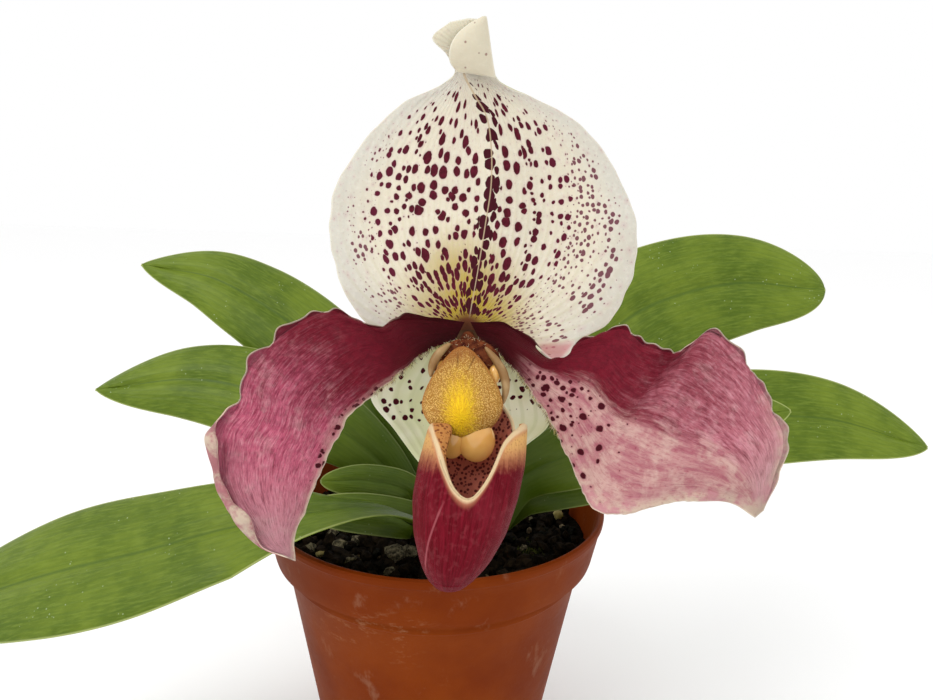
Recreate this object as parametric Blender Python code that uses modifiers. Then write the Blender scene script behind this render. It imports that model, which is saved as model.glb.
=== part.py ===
"""A paphiopedilum orchid in flower, in its plastic pot.

Everything is in metres with +Z up. The origin is the centre of the pot's flat
underside, and the flower looks towards -Y. Sizes are written in millimetres and
multiplied by MM where they reach a mesh.
"""
import math

import bpy
import bmesh
import numpy as np
from mathutils import Matrix

MM = 0.001
CLEARANCE = 0.3

# Pot
POT_HEIGHT = 96.0
RIM_RADIUS = 55.0
COLLAR_HEIGHT = 15.4
COLLAR_FOOT_RADIUS = 51.9
WALL_TOP_RADIUS = 48.6
BASE_RADIUS = 34.0
WALL = 1.7
FLOOR = 2.2
FLOOR_CHAMFER = 1.5
RING_DROP = 4.0
RING_HEIGHT = 0.7
DRAIN_HOLES = 6
DRAIN_RADIUS = 4.0
DRAIN_CIRCLE = 22.0
DRAIN_SIDES = 16
POT_SIDES = 40
SHARP_ANGLE = 35.0

# Potting mix
SOIL_LEVEL = 83.0
SOIL_RELIEF = 1.6
SOIL_BUMPS = 90
BUMP_REACH = 48.0
BUMP_SIZES = (4.0, 8.0)
LUMPS = 26
LUMP_REACH = 44.0
LUMP_SIZES = (2.4, 4.6)
LUMP_CROWN_GAP = 15.0
SOIL_SIDES = 32
FACET_ALLOWANCE = 0.25
SOIL_SEED = 11

# Crown, the short stem that the leaves and the scape grow from
CROWN_CENTRE = (8.0, -10.0)
CROWN_RADIUS = 5.4
CROWN_TOP = 96.0
CROWN_DEPTH = 14.0
CROWN_SIDES = 20

# Leaves
LEAF_THICKNESS = 1.5
LEAF_COLUMNS = 6
LEAF_START_RADIUS = 7.2
LEAF_BASE_HALF = 4.2
LEAF_FOOT_HEIGHTS = (89.5, 93.5)
LEAF_TIP_HALF = 0.5
GROOVE_DEPTH = 0.06
GROOVE_WIDTH = 0.35

# Flower frame: its centre, and how far it looks up and leans
FLOWER_CENTRE = (8.6, -62.7, 162.3)
FLOWER_TILT = 11.6
FLOWER_ROLL = 1.8
PETAL_THICKNESS = 0.9
SEPAL_THICKNESS = 0.9
LIP_THICKNESS = 1.1
STAMINODE_THICKNESS = 1.3

# Scape, ovary and bract
SCAPE_RADIUS = 2.0
OVARY_RADIUS = 2.6
BRACT_THICKNESS = 0.9
BRACT_WRAP = 110.0


def clear_scene():
    for item in list(bpy.data.objects):
        bpy.data.objects.remove(item, do_unlink=True)


def new_collection(name):
    group = bpy.data.collections.new(name)
    bpy.context.scene.collection.children.link(group)
    return group


def new_material(name, colour, roughness, metallic=0.0):
    material = bpy.data.materials.new(name)
    material.use_nodes = True
    shader = material.node_tree.nodes["Principled BSDF"]
    shader.inputs["Base Color"].default_value = (*colour, 1.0)
    shader.inputs["Roughness"].default_value = roughness
    shader.inputs["Metallic"].default_value = metallic
    material.diffuse_color = (*colour, 1.0)
    return material


def add_object(name, mesh, group, material=None, parent=None):
    thing = bpy.data.objects.new(name, mesh)
    group.objects.link(thing)
    if material is not None:
        mesh.materials.append(material)
    thing.parent = parent
    return thing


def smooth_through(points, count):
    """A smooth curve through the points, read at equal steps of its length.

    Each stretch is a cubic whose end slopes are those of the neighbouring points.
    """
    points = np.array(points, float)
    chords = np.linalg.norm(np.diff(points, axis=0), axis=1)
    knots = np.concatenate(([0.0], np.cumsum(np.sqrt(chords))))
    slopes = np.gradient(points, knots, axis=0)
    fine = np.linspace(0.0, knots[-1], 24 * len(points))
    index = np.clip(np.searchsorted(knots, fine, side="right") - 1, 0, len(points) - 2)
    step = (knots[index + 1] - knots[index])[:, None]
    u = (fine - knots[index])[:, None] / step
    curve = ((2 * u**3 - 3 * u**2 + 1) * points[index] + (u**3 - 2 * u**2 + u) * step * slopes[index]
             + (3 * u**2 - 2 * u**3) * points[index + 1] + (u**3 - u**2) * step * slopes[index + 1])
    length = np.concatenate(([0.0], np.cumsum(np.linalg.norm(np.diff(curve, axis=0), axis=1))))
    wanted = np.linspace(0.0, length[-1], count)
    return np.stack([np.interp(wanted, length, curve[:, axis]) for axis in range(3)], axis=1)


def unit(vectors):
    return vectors / np.linalg.norm(vectors, axis=-1, keepdims=True)


def smooth_step(low, high, value):
    u = np.clip((value - low) / (high - low), 0.0, 1.0)
    return u * u * (3.0 - 2.0 * u)


def sheet_mesh(name, grid, wrap=False, pole=None):
    """A sheet of triangles over a grid of points, in millimetres.

    wrap joins the last column to the first, and pole closes the last row to a point.
    """
    rows, columns, _ = grid.shape
    points = grid.reshape(-1, 3)
    faces = []
    for row in range(rows - 1):
        for column in range(columns if wrap else columns - 1):
            after = (column + 1) % columns
            a, b = row * columns + column, row * columns + after
            c, d = a + columns, b + columns
            faces += [(a, b, d), (a, d, c)]
    if pole is not None:
        points = np.vstack([points, pole])
        last = (rows - 1) * columns
        faces += [(last + i, last + (i + 1) % columns, len(points) - 1) for i in range(columns)]
    mesh = bpy.data.meshes.new(name)
    mesh.from_pydata([tuple(p) for p in points * MM], [], faces)
    mesh.shade_smooth()
    return mesh


def thicken(thing, thickness):
    wall = thing.modifiers.new("thickness", "SOLIDIFY")
    wall.thickness = thickness * MM
    wall.offset = 0.0
    return thing


def boolean(thing, other, operation, solver="EXACT"):
    """Join or cut with another object, and apply the result to the mesh."""
    cut = thing.modifiers.new("cut", "BOOLEAN")
    cut.operation = operation
    cut.solver = solver
    cut.object = other
    bpy.context.view_layer.update()
    shaped = thing.evaluated_get(bpy.context.evaluated_depsgraph_get())
    mesh = bpy.data.meshes.new_from_object(shaped)
    thing.modifiers.clear()
    thing.data = mesh


def lathe_mesh(name, profile, sides):
    """A turned solid from a profile of radius and height, from the inside to the outside."""
    mesh = bpy.data.meshes.new(name)
    edges = [(i, i + 1) for i in range(len(profile) - 1)]
    mesh.from_pydata([(r * MM, 0.0, z * MM) for r, z in profile], edges, [])
    turned = bpy.data.objects.new(name, mesh)
    bpy.context.scene.collection.objects.link(turned)
    screw = turned.modifiers.new("turn", "SCREW")
    screw.steps = sides
    screw.render_steps = sides
    screw.use_merge_vertices = True
    screw.merge_threshold = 0.00001
    bpy.context.view_layer.update()
    solid = bpy.data.meshes.new_from_object(turned.evaluated_get(bpy.context.evaluated_depsgraph_get()))
    bpy.data.objects.remove(turned)
    return solid


def tube_object(name, path, radii, group, material):
    """A round stem: a curve with a bevel and filled caps, thick by the radius at each point."""
    curve = bpy.data.curves.new(name, "CURVE")
    curve.dimensions = "3D"
    curve.bevel_depth = MM
    curve.bevel_resolution = 2
    curve.use_fill_caps = True
    spline = curve.splines.new("POLY")
    spline.points.add(len(path) - 1)
    for point, place, radius in zip(spline.points, path, radii):
        point.co = (*(place * MM), 1.0)
        point.radius = radius
    guide = bpy.data.objects.new(name, curve)
    bpy.context.scene.collection.objects.link(guide)
    bpy.context.view_layer.update()
    mesh = bpy.data.meshes.new_from_object(guide.evaluated_get(bpy.context.evaluated_depsgraph_get()))
    bpy.data.objects.remove(guide)
    work = bmesh.new()
    work.from_mesh(mesh)
    bmesh.ops.remove_doubles(work, verts=work.verts, dist=0.00001)
    work.to_mesh(mesh)
    work.free()
    mesh.shade_smooth()
    return add_object(name, mesh, group, material)


# Pot and potting mix

def wall_radius(z):
    """Outer radius of the tapering wall below the collar."""
    return BASE_RADIUS + (WALL_TOP_RADIUS - BASE_RADIUS) * z / (POT_HEIGHT - COLLAR_HEIGHT)


def pot_inner_radius(z):
    """Inside radius: the tapering wall, a step out behind the collar's foot, and the collar."""
    foot = POT_HEIGHT - COLLAR_HEIGHT
    slope = (RIM_RADIUS - COLLAR_FOOT_RADIUS) / COLLAR_HEIGHT
    heights = (FLOOR + FLOOR_CHAMFER, foot - 1.0, foot + 2.0, POT_HEIGHT - 1.0)
    radii = (wall_radius(FLOOR), wall_radius(foot - 1.0), COLLAR_FOOT_RADIUS + 2.0 * slope,
             RIM_RADIUS - 0.5)
    return float(np.interp(z, heights, radii)) - WALL


def build_pot(group, material):
    collar_foot = POT_HEIGHT - COLLAR_HEIGHT
    ring = collar_foot - RING_DROP
    floor_radius = wall_radius(FLOOR) - WALL
    profile = [
        (0.0, FLOOR), (floor_radius - FLOOR_CHAMFER, FLOOR), (floor_radius, FLOOR + FLOOR_CHAMFER),
        (pot_inner_radius(collar_foot - 1.0), collar_foot - 1.0),
        (pot_inner_radius(collar_foot + 2.0), collar_foot + 2.0),
        (RIM_RADIUS - WALL - 0.5, POT_HEIGHT - 1.0), (RIM_RADIUS - WALL + 0.2, POT_HEIGHT),
        (RIM_RADIUS - 0.7, POT_HEIGHT), (RIM_RADIUS, POT_HEIGHT - 0.9), (RIM_RADIUS - 0.6, POT_HEIGHT - 3.0),
        (COLLAR_FOOT_RADIUS, collar_foot + 0.6), (COLLAR_FOOT_RADIUS - 0.7, collar_foot),
        (WALL_TOP_RADIUS, collar_foot - 0.4), (wall_radius(ring + RING_HEIGHT) + 0.1, ring + RING_HEIGHT),
        (wall_radius(ring) - 0.6, ring), (wall_radius(ring - 1.0) - 0.6, ring - 1.0),
        (BASE_RADIUS, 1.0), (BASE_RADIUS - 1.0, 0.0), (0.0, 0.0),
    ]
    pot = add_object("pot", lathe_mesh("pot", profile, POT_SIDES), group, material)
    for number in range(DRAIN_HOLES):
        angle = 2.0 * math.pi * number / DRAIN_HOLES
        place = (DRAIN_CIRCLE * MM * math.cos(angle), DRAIN_CIRCLE * MM * math.sin(angle), FLOOR * MM / 2)
        bpy.ops.mesh.primitive_cylinder_add(
            vertices=DRAIN_SIDES, radius=DRAIN_RADIUS * MM, depth=3 * FLOOR * MM, location=place)
        drill = bpy.context.object
        boolean(pot, drill, "DIFFERENCE")
        bpy.data.objects.remove(drill)
    pot.data.shade_smooth()
    pot.data.set_sharp_from_angle(angle=math.radians(SHARP_ANGLE))
    return pot


def soil_relief(x, y, random):
    """Height of the potting mix: rounded bumps of bark and grit, drawn at random and summed."""
    height = np.zeros_like(x)
    for _ in range(SOIL_BUMPS):
        angle, reach = random.uniform(0, 2 * math.pi), BUMP_REACH * math.sqrt(random.uniform(0, 1))
        size = random.uniform(*BUMP_SIZES)
        distance = np.hypot(x - reach * math.cos(angle), y - reach * math.sin(angle)) / size
        height += random.uniform(-0.6, 1.0) * SOIL_RELIEF * np.exp(-distance**2)
    return height


def level_ring(radius, height, angles):
    """A grid of one row: a ring of points at one height."""
    ring = [radius * np.cos(angles), radius * np.sin(angles), 0 * angles + height]
    return np.stack(ring, axis=1)[None]


def build_potting_mix(group, material):
    random = np.random.default_rng(SOIL_SEED)
    top_radius = pot_inner_radius(SOIL_LEVEL - 1.0) - CLEARANCE - FACET_ALLOWANCE
    angles = np.linspace(0, 2 * math.pi, SOIL_SIDES, endpoint=False)
    radii = np.concatenate((np.linspace(6.0, top_radius - 1.0, 8), [top_radius]))
    x, y = radii[:, None] * np.cos(angles), radii[:, None] * np.sin(angles)
    z = SOIL_LEVEL + soil_relief(x, y, random)
    z[-1] = SOIL_LEVEL - 1.0
    rings = [np.stack([x, y, z], axis=2)]
    foot = POT_HEIGHT - COLLAR_HEIGHT
    for height in (foot - 1.0, FLOOR + FLOOR_CHAMFER + CLEARANCE):
        radius = pot_inner_radius(height) - CLEARANCE - FACET_ALLOWANCE
        rings.append(level_ring(radius, height, angles))
    radius = wall_radius(FLOOR) - WALL - FLOOR_CHAMFER - 0.2 - CLEARANCE
    rings.append(level_ring(radius, FLOOR + CLEARANCE, angles))
    grid = np.concatenate(rings, axis=0)
    mesh = sheet_mesh("potting_mix", grid, wrap=True, pole=np.array([0.0, 0.0, FLOOR + CLEARANCE]))
    work = bmesh.new()
    work.from_mesh(mesh)
    bmesh.ops.holes_fill(work, edges=[e for e in work.edges if e.is_boundary])
    bmesh.ops.triangulate(work, faces=[f for f in work.faces if len(f.verts) > 3])
    bmesh.ops.recalc_face_normals(work, faces=work.faces)
    work.to_mesh(mesh)
    work.free()
    mix = add_object("potting_mix", mesh, group, material)
    for _ in range(LUMPS):
        angle = random.uniform(0, 2 * math.pi)
        reach = LUMP_REACH * math.sqrt(random.uniform(0.09, 1))
        size = random.uniform(*LUMP_SIZES)
        x, y = reach * math.cos(angle), reach * math.sin(angle)
        if math.hypot(x - CROWN_CENTRE[0], y - CROWN_CENTRE[1]) < LUMP_CROWN_GAP:
            continue
        place = (x * MM, y * MM, (SOIL_LEVEL + 0.35 * size) * MM)
        bpy.ops.mesh.primitive_ico_sphere_add(subdivisions=1, radius=size * MM, location=place)
        lump = bpy.context.object
        lump.rotation_euler = random.uniform(0, math.pi, 3)
        lump.scale = random.uniform(0.75, 1.2, 3)
        boolean(mix, lump, "UNION", "MANIFOLD")
        bpy.data.objects.remove(lump)
    bore = 20.0
    place = (CROWN_CENTRE[0] * MM, CROWN_CENTRE[1] * MM, (SOIL_LEVEL - CROWN_DEPTH + bore / 2) * MM)
    bpy.ops.mesh.primitive_cylinder_add(
        vertices=CROWN_SIDES, radius=(CROWN_RADIUS + 0.5) * MM, depth=bore * MM, location=place)
    drill = bpy.context.object
    boolean(mix, drill, "DIFFERENCE", "MANIFOLD")
    bpy.data.objects.remove(drill)
    return mix


def build_crown(group, material):
    foot = SOIL_LEVEL - CROWN_DEPTH + CLEARANCE
    profile = [(0.0, CROWN_TOP), (2.8, CROWN_TOP), (3.9, CROWN_TOP - 2.5), (CROWN_RADIUS, SOIL_LEVEL + 3.0),
               (CROWN_RADIUS, foot + 2.0), (3.6, foot), (0.0, foot)]
    crown = add_object("crown", lathe_mesh("crown", profile, CROWN_SIDES), group, material)
    crown.location = (CROWN_CENTRE[0] * MM, CROWN_CENTRE[1] * MM, 0.0)
    return crown


# Leaves: azimuth where each leaves the crown, the points that its midrib passes, its
# greatest half width, the bank of the blade at the base, middle and tip (0 faces up, 90
# faces the front), how many degrees it arches over its half width, how far along it
# reaches full width, and how blunt its tip is (0.5 round, 1 pointed)
LEAVES = {
    "leaf_back_left": dict(
        azimuth=140, start=6.4, half=16.5, bank=(85, 60, 55), arch=24, full=0.6, point=0.8, rows=20,
        points=[(-14, 3, 111), (-34, 14, 136), (-50, 18, 148), (-65, 21, 157), (-81, 23, 164),
                (-105, 25, 167)]),
    "leaf_mid_left": dict(
        azimuth=172, half=15.5, bank=(85, 58, 52), arch=26, full=0.6, point=0.8, rows=20,
        points=[(-18, -7, 110), (-37, -5, 123), (-61, -4, 132), (-80, -3, 134), (-108, -5, 130)]),
    "leaf_inner_left": dict(
        azimuth=198, half=5.5, bank=(75, 55, 50), arch=10, full=0.5, point=0.55, rows=12,
        points=[(-8, -19, 105), (-19, -24, 110), (-32, -30, 112)]),
    "leaf_low_left": dict(
        azimuth=219, half=6.0, bank=(60, 50, 50), arch=8, full=0.5, point=0.6, rows=12,
        points=[(-6, -25.5, 98.8), (-18, -32.5, 103.8), (-37, -38, 107)]),
    "leaf_front_left": dict(
        azimuth=264, half=19.5, bank=(-45, 36, 38), arch=8, full=0.75, point=0.6, rows=20,
        points=[(-1, -33, 101), (-13, -41, 109.5), (-28, -46, 111), (-53, -48, 106), (-76, -49, 99),
                (-102, -48, 91), (-142, -45, 75)]),
    "leaf_back_right": dict(
        azimuth=40, start=6.7, half=21.5, bank=(85, 66, 62), arch=10, full=0.6, point=0.5, rows=20,
        points=[(38, 4, 132), (62, 14, 155), (79, 18, 163), (102, 20, 168), (130, 20, 166)]),
    "leaf_mid_right": dict(
        azimuth=14, half=16.0, bank=(85, 64, 58), arch=6, full=0.6, point=0.7, rows=20,
        points=[(34, -8, 109), (59, -7, 120), (92, -5, 127), (124, -5, 128), (155, -7, 120)]),
    "leaf_low_right": dict(
        azimuth=-12, half=7.5, bank=(75, 60, 55), arch=6, full=0.5, point=0.6, rows=12,
        points=[(28, -14, 103), (48, -17, 110), (68, -19, 114)]),
    "leaf_inner_right": dict(
        azimuth=-38, start=7.5, half=12.0, bank=(75, 60, 55), arch=8, full=0.6, point=0.7, rows=16,
        points=[(25, -17, 108), (38, -23, 119), (60, -28, 129), (80, -31, 135), (98, -33, 138)]),
}


def leaf_grid(azimuth, points, half, bank, arch, full, point, rows, columns, start=LEAF_START_RADIUS):
    """A strap leaf: arcs across, carried along its midrib.

    Its half width swells from a narrow base to full width and closes at the tip. Each arc
    turns by arch to either side of the bank, and a shallow groove runs along the midrib.
    """
    turn = math.radians(azimuth)
    outward = np.array([math.cos(turn), math.sin(turn)])
    centre = np.array(CROWN_CENTRE)
    foot = [(*(centre + start * outward), LEAF_FOOT_HEIGHTS[0]),
            (*(centre + (start + 5.0) * outward), LEAF_FOOT_HEIGHTS[1])]
    t = 1.0 - (1.0 - np.linspace(0.0, 1.0, rows)) ** 1.35
    dense = smooth_through(foot + list(points), 400)
    spine = np.stack([np.interp(t, np.linspace(0, 1, 400), dense[:, axis]) for axis in range(3)], axis=1)
    along = unit(np.gradient(spine, t, axis=0))
    forward = np.array([0.0, -1.0, 0.0])
    front = unit(forward - along * (along @ forward)[:, None])
    upward = np.cross(along, front)
    upward *= np.sign(upward[:, 2:3])
    angle = np.radians(np.interp(t, (0.0, 0.12, 0.45, 1.0), (bank[0], *bank)))[:, None, None]
    base = LEAF_BASE_HALF / half
    swell = base + (1.0 - base) * smooth_step(0.0, full, t) ** 0.9
    close = (1.0 - np.clip((t - 0.5) / 0.5, 0, 1) ** 2.6) ** point
    width = np.maximum(half * swell * close, LEAF_TIP_HALF)[:, None, None]
    s = np.linspace(-1.0, 1.0, columns + 1)[None, :, None]
    bend = math.radians(arch)
    out = (np.sin(angle + bend * s) - np.sin(angle)) / bend
    down = (np.cos(angle) - np.cos(angle + bend * s)) / bend
    shallow = GROOVE_DEPTH * half * smooth_step(0.05, 0.3, t)[:, None, None]
    groove = shallow * np.exp(-(s / GROOVE_WIDTH) ** 2)
    face = np.sin(angle) * front[:, None] + np.cos(angle) * upward[:, None]
    return spine[:, None] + width * (out * front[:, None] - down * upward[:, None]) - groove * face


def build_leaf(name, group, material):
    mesh = sheet_mesh(name, leaf_grid(**LEAVES[name], columns=LEAF_COLUMNS))
    return thicken(add_object(name, mesh, group, material), LEAF_THICKNESS)


# Flower: all its points are (right, back, up) from the flower's centre

DORSAL_LEFT = [
    (-2, 2.3, 3), (-10.5, 1.2, 3), (-20, 0.5, 1.5), (-27, 2, 7.5), (-31.5, 4, 20.5), (-31, 4, 32),
    (-25, 3, 42.5), (-15, 0, 51.5), (-6, -3.5, 54.5), (-3, -6.5, 56), (-6, -11, 60), (-3.5, -14, 64)]
DORSAL_RIGHT = [
    (2, 2.3, 3), (10, 1, 2.5), (14.5, -0.7, 1.8), (17.2, -1.2, -4.0), (20, -1.2, -7), (22.8, -1.2, -3),
    (26, -0.5, 2.0), (31.5, 0, 1.5), (37.5, 3.5, 11), (39.5, 4.5, 23), (35.5, 4, 35.5), (26.5, 2, 47),
    (15.5, -1, 52.5), (8.5, -4.5, 54), (6, -7.5, 56), (4.8, -10, 60), (2, -13.5, 65)]
DORSAL_MIDRIB = [
    (0, 2.3, 3.2), (0.7, 0.6, 12), (2.4, -0.6, 24), (4.2, -1.6, 36), (4, -3.6, 47), (1.6, -8, 55.5),
    (-0.5, -12, 61), (-0.8, -14.2, 65.2)]
DORSAL_LOBE = (9.3, 0.18, 0.07)
SYNSEPAL_LEFT = [
    (-2.2, 2.2, -2.2), (-12, 3, -6), (-22.5, 5, -14.5), (-17, 6, -22.5), (-11, 6, -30.5), (-2, 5, -40)]
SYNSEPAL_RIGHT = [
    (2.2, 2.2, -2.2), (9, 3, -5), (15, 5, -12.5), (19.5, 6, -20.5), (13, 6, -27), (6, 6, -36),
    (2, 5, -40)]
SYNSEPAL_MIDRIB = [(0, 2.2, -2.2), (0, 4.5, -12), (0, 6.5, -24), (0, 6.5, -33), (0, 5, -40.3)]
PETAL_LEFT_UPPER = [
    (-0.7, -0.6, 2.2), (-8, -2.6, 2.9), (-15.5, -4.6, 3.2), (-19.5, -6.6, 0.7), (-24, -7.6, 3),
    (-29, -8.6, 4.5), (-35, -10.6, 2), (-41, -13, -3), (-45, -15, -9), (-46, -17, -15),
    (-48.8, -18.5, -20), (-48.3, -20.5, -29), (-43.6, -21.5, -37), (-39, -22, -42),
    (-34.5, -21.6, -44.5)]
PETAL_LEFT_LOWER = [
    (-2.6, -0.6, -1.4), (-9.5, -3, -4.5), (-14.5, -6, -9), (-21, -8, -14), (-26, -10, -19.5),
    (-30.5, -12, -29), (-33, -15, -36.5), (-34.4, -18.5, -41), (-33.5, -21.4, -45)]
PETAL_RIGHT_UPPER = [
    (0.9, -0.6, 2.2), (8.5, -2.4, 1.4), (14, -3.4, -2.2), (19, -4.4, -5.2), (23, -5.2, -4.0),
    (27, -7, -1), (33.5, -9, 0.5), (38.5, -10, -3.5), (44, -10.6, -4.5), (50, -13, 0),
    (55, -14, -4), (61, -15, -13), (63.5, -16, -22), (61.5, -16.6, -31), (58.8, -18.6, -36)]
PETAL_RIGHT_LOWER = [
    (2.8, -0.6, -1.4), (7.5, -3, -5), (13.5, -7, -12.5), (17.5, -9, -18.5), (20.5, -11, -25),
    (23, -13, -31), (25, -14, -35.8), (29, -15, -37.3), (35, -16, -36.5), (41, -17, -34.7),
    (46.5, -18, -34), (53, -18, -34.6), (57.2, -18.8, -37.2)]

# Turned edges: least and greatest length, turn in degrees, and where along the petal
LEFT_CURL = (0.4, 5.0, 160.0, 0.6, 1.0)
RIGHT_CURL = (0.4, 1.6, 60.0, 0.8, 1.0)


def petal_grid(lower, upper, rows, columns, cup, ruffle, waves, curl, curl_columns):
    """A petal between its lower and upper margins, with its upper edge turned to the front.

    Straight lines join the margins. The blade is pushed to the front by cup in its middle,
    and its upper edge by ruffle in uneven waves. Past the upper margin a strip goes on
    along an arc. curl gives the strip's least and greatest length, its greatest turn in
    degrees, and where along the petal it starts and ends.
    """
    t = np.linspace(0.0, 1.0, rows)[:, None, None]
    low, high = smooth_through(lower, rows)[:, None], smooth_through(upper, rows)[:, None]
    across = unit(high - low)
    along = unit(np.gradient(((low + high) / 2)[:, 0], axis=0))[:, None]
    front = unit(np.cross(across, along))
    front *= -np.sign(front[..., 1:2])
    s = np.linspace(0.0, 1.0, columns + 1)[None, :, None]
    taper = smooth_step(0.0, 0.25, t) * smooth_step(1.0, 0.8, t)
    wave = np.sin(2 * math.pi * waves * t) + 0.5 * np.sin(2 * math.pi * 1.7 * waves * t + 1.0)
    lift = cup * np.sin(math.pi * s) * taper + ruffle * wave * s**4 * taper
    blade = low + (high - low) * s + front * lift
    least, greatest, degrees, begin, end = curl
    share = smooth_step(begin, begin + 0.12, t) * smooth_step(end, end - 0.1, t)
    length = least * smooth_step(0.0, 0.1, t) * smooth_step(1.0, 0.9, t) + (greatest - least) * share + 0.3
    length = length * (1.0 + 0.2 * wave * share)
    turn = math.radians(degrees) * share + 0.01
    q = np.linspace(0.0, 1.0, curl_columns + 1)[None, 1:, None]
    strip = blade[:, -1:] + (across * np.sin(turn * q) + front * (1.0 - np.cos(turn * q))) * length / turn
    return np.concatenate([blade, strip], axis=1)


def read_at(points, t):
    """The smooth curve through the points, read at shares t of its length."""
    dense = smooth_through(points, 600)
    shares = np.linspace(0, 1, 600)
    return np.stack([np.interp(t, shares, dense[:, axis]) for axis in range(3)], axis=1)[:, None]


def sepal_grid(left, midrib, right, rows, columns, keel, lobe=(0.0, 0.5, 0.1)):
    """A sepal through three curves: its left margin, its midrib and its right margin.

    Each half bows to the back between midrib and margin by keel, so the midrib stands proud.
    lobe brings a stretch of the right margin to the front: how far, where, and how wide.
    Rows crowd towards the base, where the outline turns most.
    """
    share = np.linspace(0.0, 1.0, rows) ** 1.35
    first, middle, last = (read_at(curve, share) for curve in (left, midrib, right))
    t = share[:, None, None]
    s = np.linspace(-1.0, 1.0, 2 * columns + 1)[None, :, None]
    side = np.where(s < 0, first, last)
    bow = keel * np.sin(math.pi * np.abs(s)) * smooth_step(0, 0.2, t) * smooth_step(1, 0.7, t)
    forward = lobe[0] * np.exp(-((t - lobe[1]) / lobe[2]) ** 2) * smooth_step(0.3, 0.85, s)
    return middle + (side - middle) * np.abs(s) + np.array([0.0, 1.0, 0.0]) * (bow - forward)


def build_sheet(name, grid, thickness, group, material, parent):
    return thicken(add_object(name, sheet_mesh(name, grid), group, material, parent), thickness)


# Lip: a pouch of oval rings from the mouth to the toe. Each ring is its height, its
# centre to the right and to the back, and its half sizes across and front to back
LIP_RINGS = [
    (-4, 1.2, -3.4, 3.4, 1.2), (-10, 1.9, -5.4, 5.0, 2.4), (-19, 2.4, -12.0, 9.8, 8.0),
    (-27, 0.9, -16.0, 10.4, 10.2), (-33, -0.4, -19.5, 10.0, 10.8), (-39, -1.4, -22.0, 8.6, 10.0),
    (-44, -2.3, -23.2, 6.4, 8.0), (-46.8, -3.0, -23.8, 4.5, 5.8), (-48.5, -3.3, -24.2, 2.6, 3.4)]
LIP_TOE = (-3.4, -24.3, -49.3)
LIP_FRONT = -31.5
LIP_EAR = -19.5
LIP_SHOULDER = -23.0
LIP_CLAW = -5.5


def lip_grid(rows, columns):
    """The pouch: oval rings read at a height that runs from the rim to the toe.

    The rim is lowest in front, highest at the two ears beside it, dips a little behind
    them and climbs at the back to the claw.
    """
    turn = np.linspace(0, 2 * math.pi, columns, endpoint=False)
    away = np.abs((turn + math.pi) % (2 * math.pi) - math.pi)
    degrees = np.degrees(away)
    heights = (LIP_FRONT, LIP_FRONT + 1.0, LIP_FRONT + 7.0, LIP_EAR - 0.5, LIP_EAR, LIP_SHOULDER,
               LIP_SHOULDER, LIP_CLAW - 3.5, LIP_CLAW)
    rim = np.interp(degrees, (0, 14, 40, 66, 80, 100, 125, 155, 180), heights)
    rings = np.array(LIP_RINGS)
    depth = np.linspace(0.0, 1.0, rows)[:, None]
    z = rim[None] + (rings[-1, 0] - rim[None]) * depth
    order = np.argsort(rings[:, 0])
    right, back, wide, deep = (np.interp(z, rings[order, 0], rings[order, k]) for k in range(1, 5))
    x = right + wide * np.sin(turn)
    y = back - deep * np.cos(turn)
    return np.stack([x, y, z], axis=2)


def build_lip(group, material, parent):
    mesh = sheet_mesh("lip", lip_grid(12, 26), wrap=True, pole=np.array(LIP_TOE))
    return thicken(add_object("lip", mesh, group, material, parent), LIP_THICKNESS)


STAMINODE_CENTRE = (0.2, -14.0, -11.6)
STAMINODE_HALF = (8.8, 10.2)


def staminode_grid(rows, columns):
    """The shield in the flower's middle: an egg-shaped dome, narrow at the top."""
    turn = np.linspace(0, 2 * math.pi, columns, endpoint=False)[None]
    reach = np.linspace(0.12, 1.0, rows)[:, None]
    narrow = 1.0 - 0.28 * np.clip(np.sin(turn), 0, 1) ** 2
    x = STAMINODE_CENTRE[0] + STAMINODE_HALF[0] * narrow * reach * np.cos(turn)
    z = STAMINODE_CENTRE[2] + STAMINODE_HALF[1] * reach * np.sin(turn)
    y = STAMINODE_CENTRE[1] + 3.6 * reach**2 + 0.3 * (z - STAMINODE_CENTRE[2])
    return np.stack([x, y, z], axis=2)[::-1]


def build_staminode(group, material, parent):
    mesh = sheet_mesh("staminode", staminode_grid(5, 20), wrap=True, pole=np.array(STAMINODE_CENTRE))
    return thicken(add_object("staminode", mesh, group, material, parent), STAMINODE_THICKNESS)


def ball(place, sizes):
    location = [v * MM for v in place]
    bpy.ops.mesh.primitive_uv_sphere_add(segments=10, ring_count=7, radius=MM, location=location)
    lobe = bpy.context.object
    lobe.scale = sizes
    return lobe


def build_column(group, material, parent):
    """The column behind the shield, with an anther at each side and the stigma's two lobes below."""
    path = smooth_through([(0.2, 0.8, -1.1), (0.2, -2.7, -2.3), (0.4, -7.4, -8.2), (0.4, -9.6, -18.0)], 9)
    radii = np.interp(np.linspace(0, 1, 9), (0, 0.5, 1), (1.9, 2.3, 2.6))
    column = tube_object("column", path, radii, group, material)
    lobes = [((-2.3, -10.2, -22.0), (2.8, 2.0, 5.0)), ((2.6, -10.2, -22.4), (4.0, 2.0, 5.0)),
             ((-2.8, -7.2, -10.0), (1.9, 2.0, 2.6)), ((4.0, -7.2, -10.0), (1.9, 2.0, 2.6))]
    for place, sizes in lobes:
        lobe = ball(place, sizes)
        boolean(column, lobe, "UNION", "MANIFOLD")
        bpy.data.objects.remove(lobe)
    column.parent = parent
    return column


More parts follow.
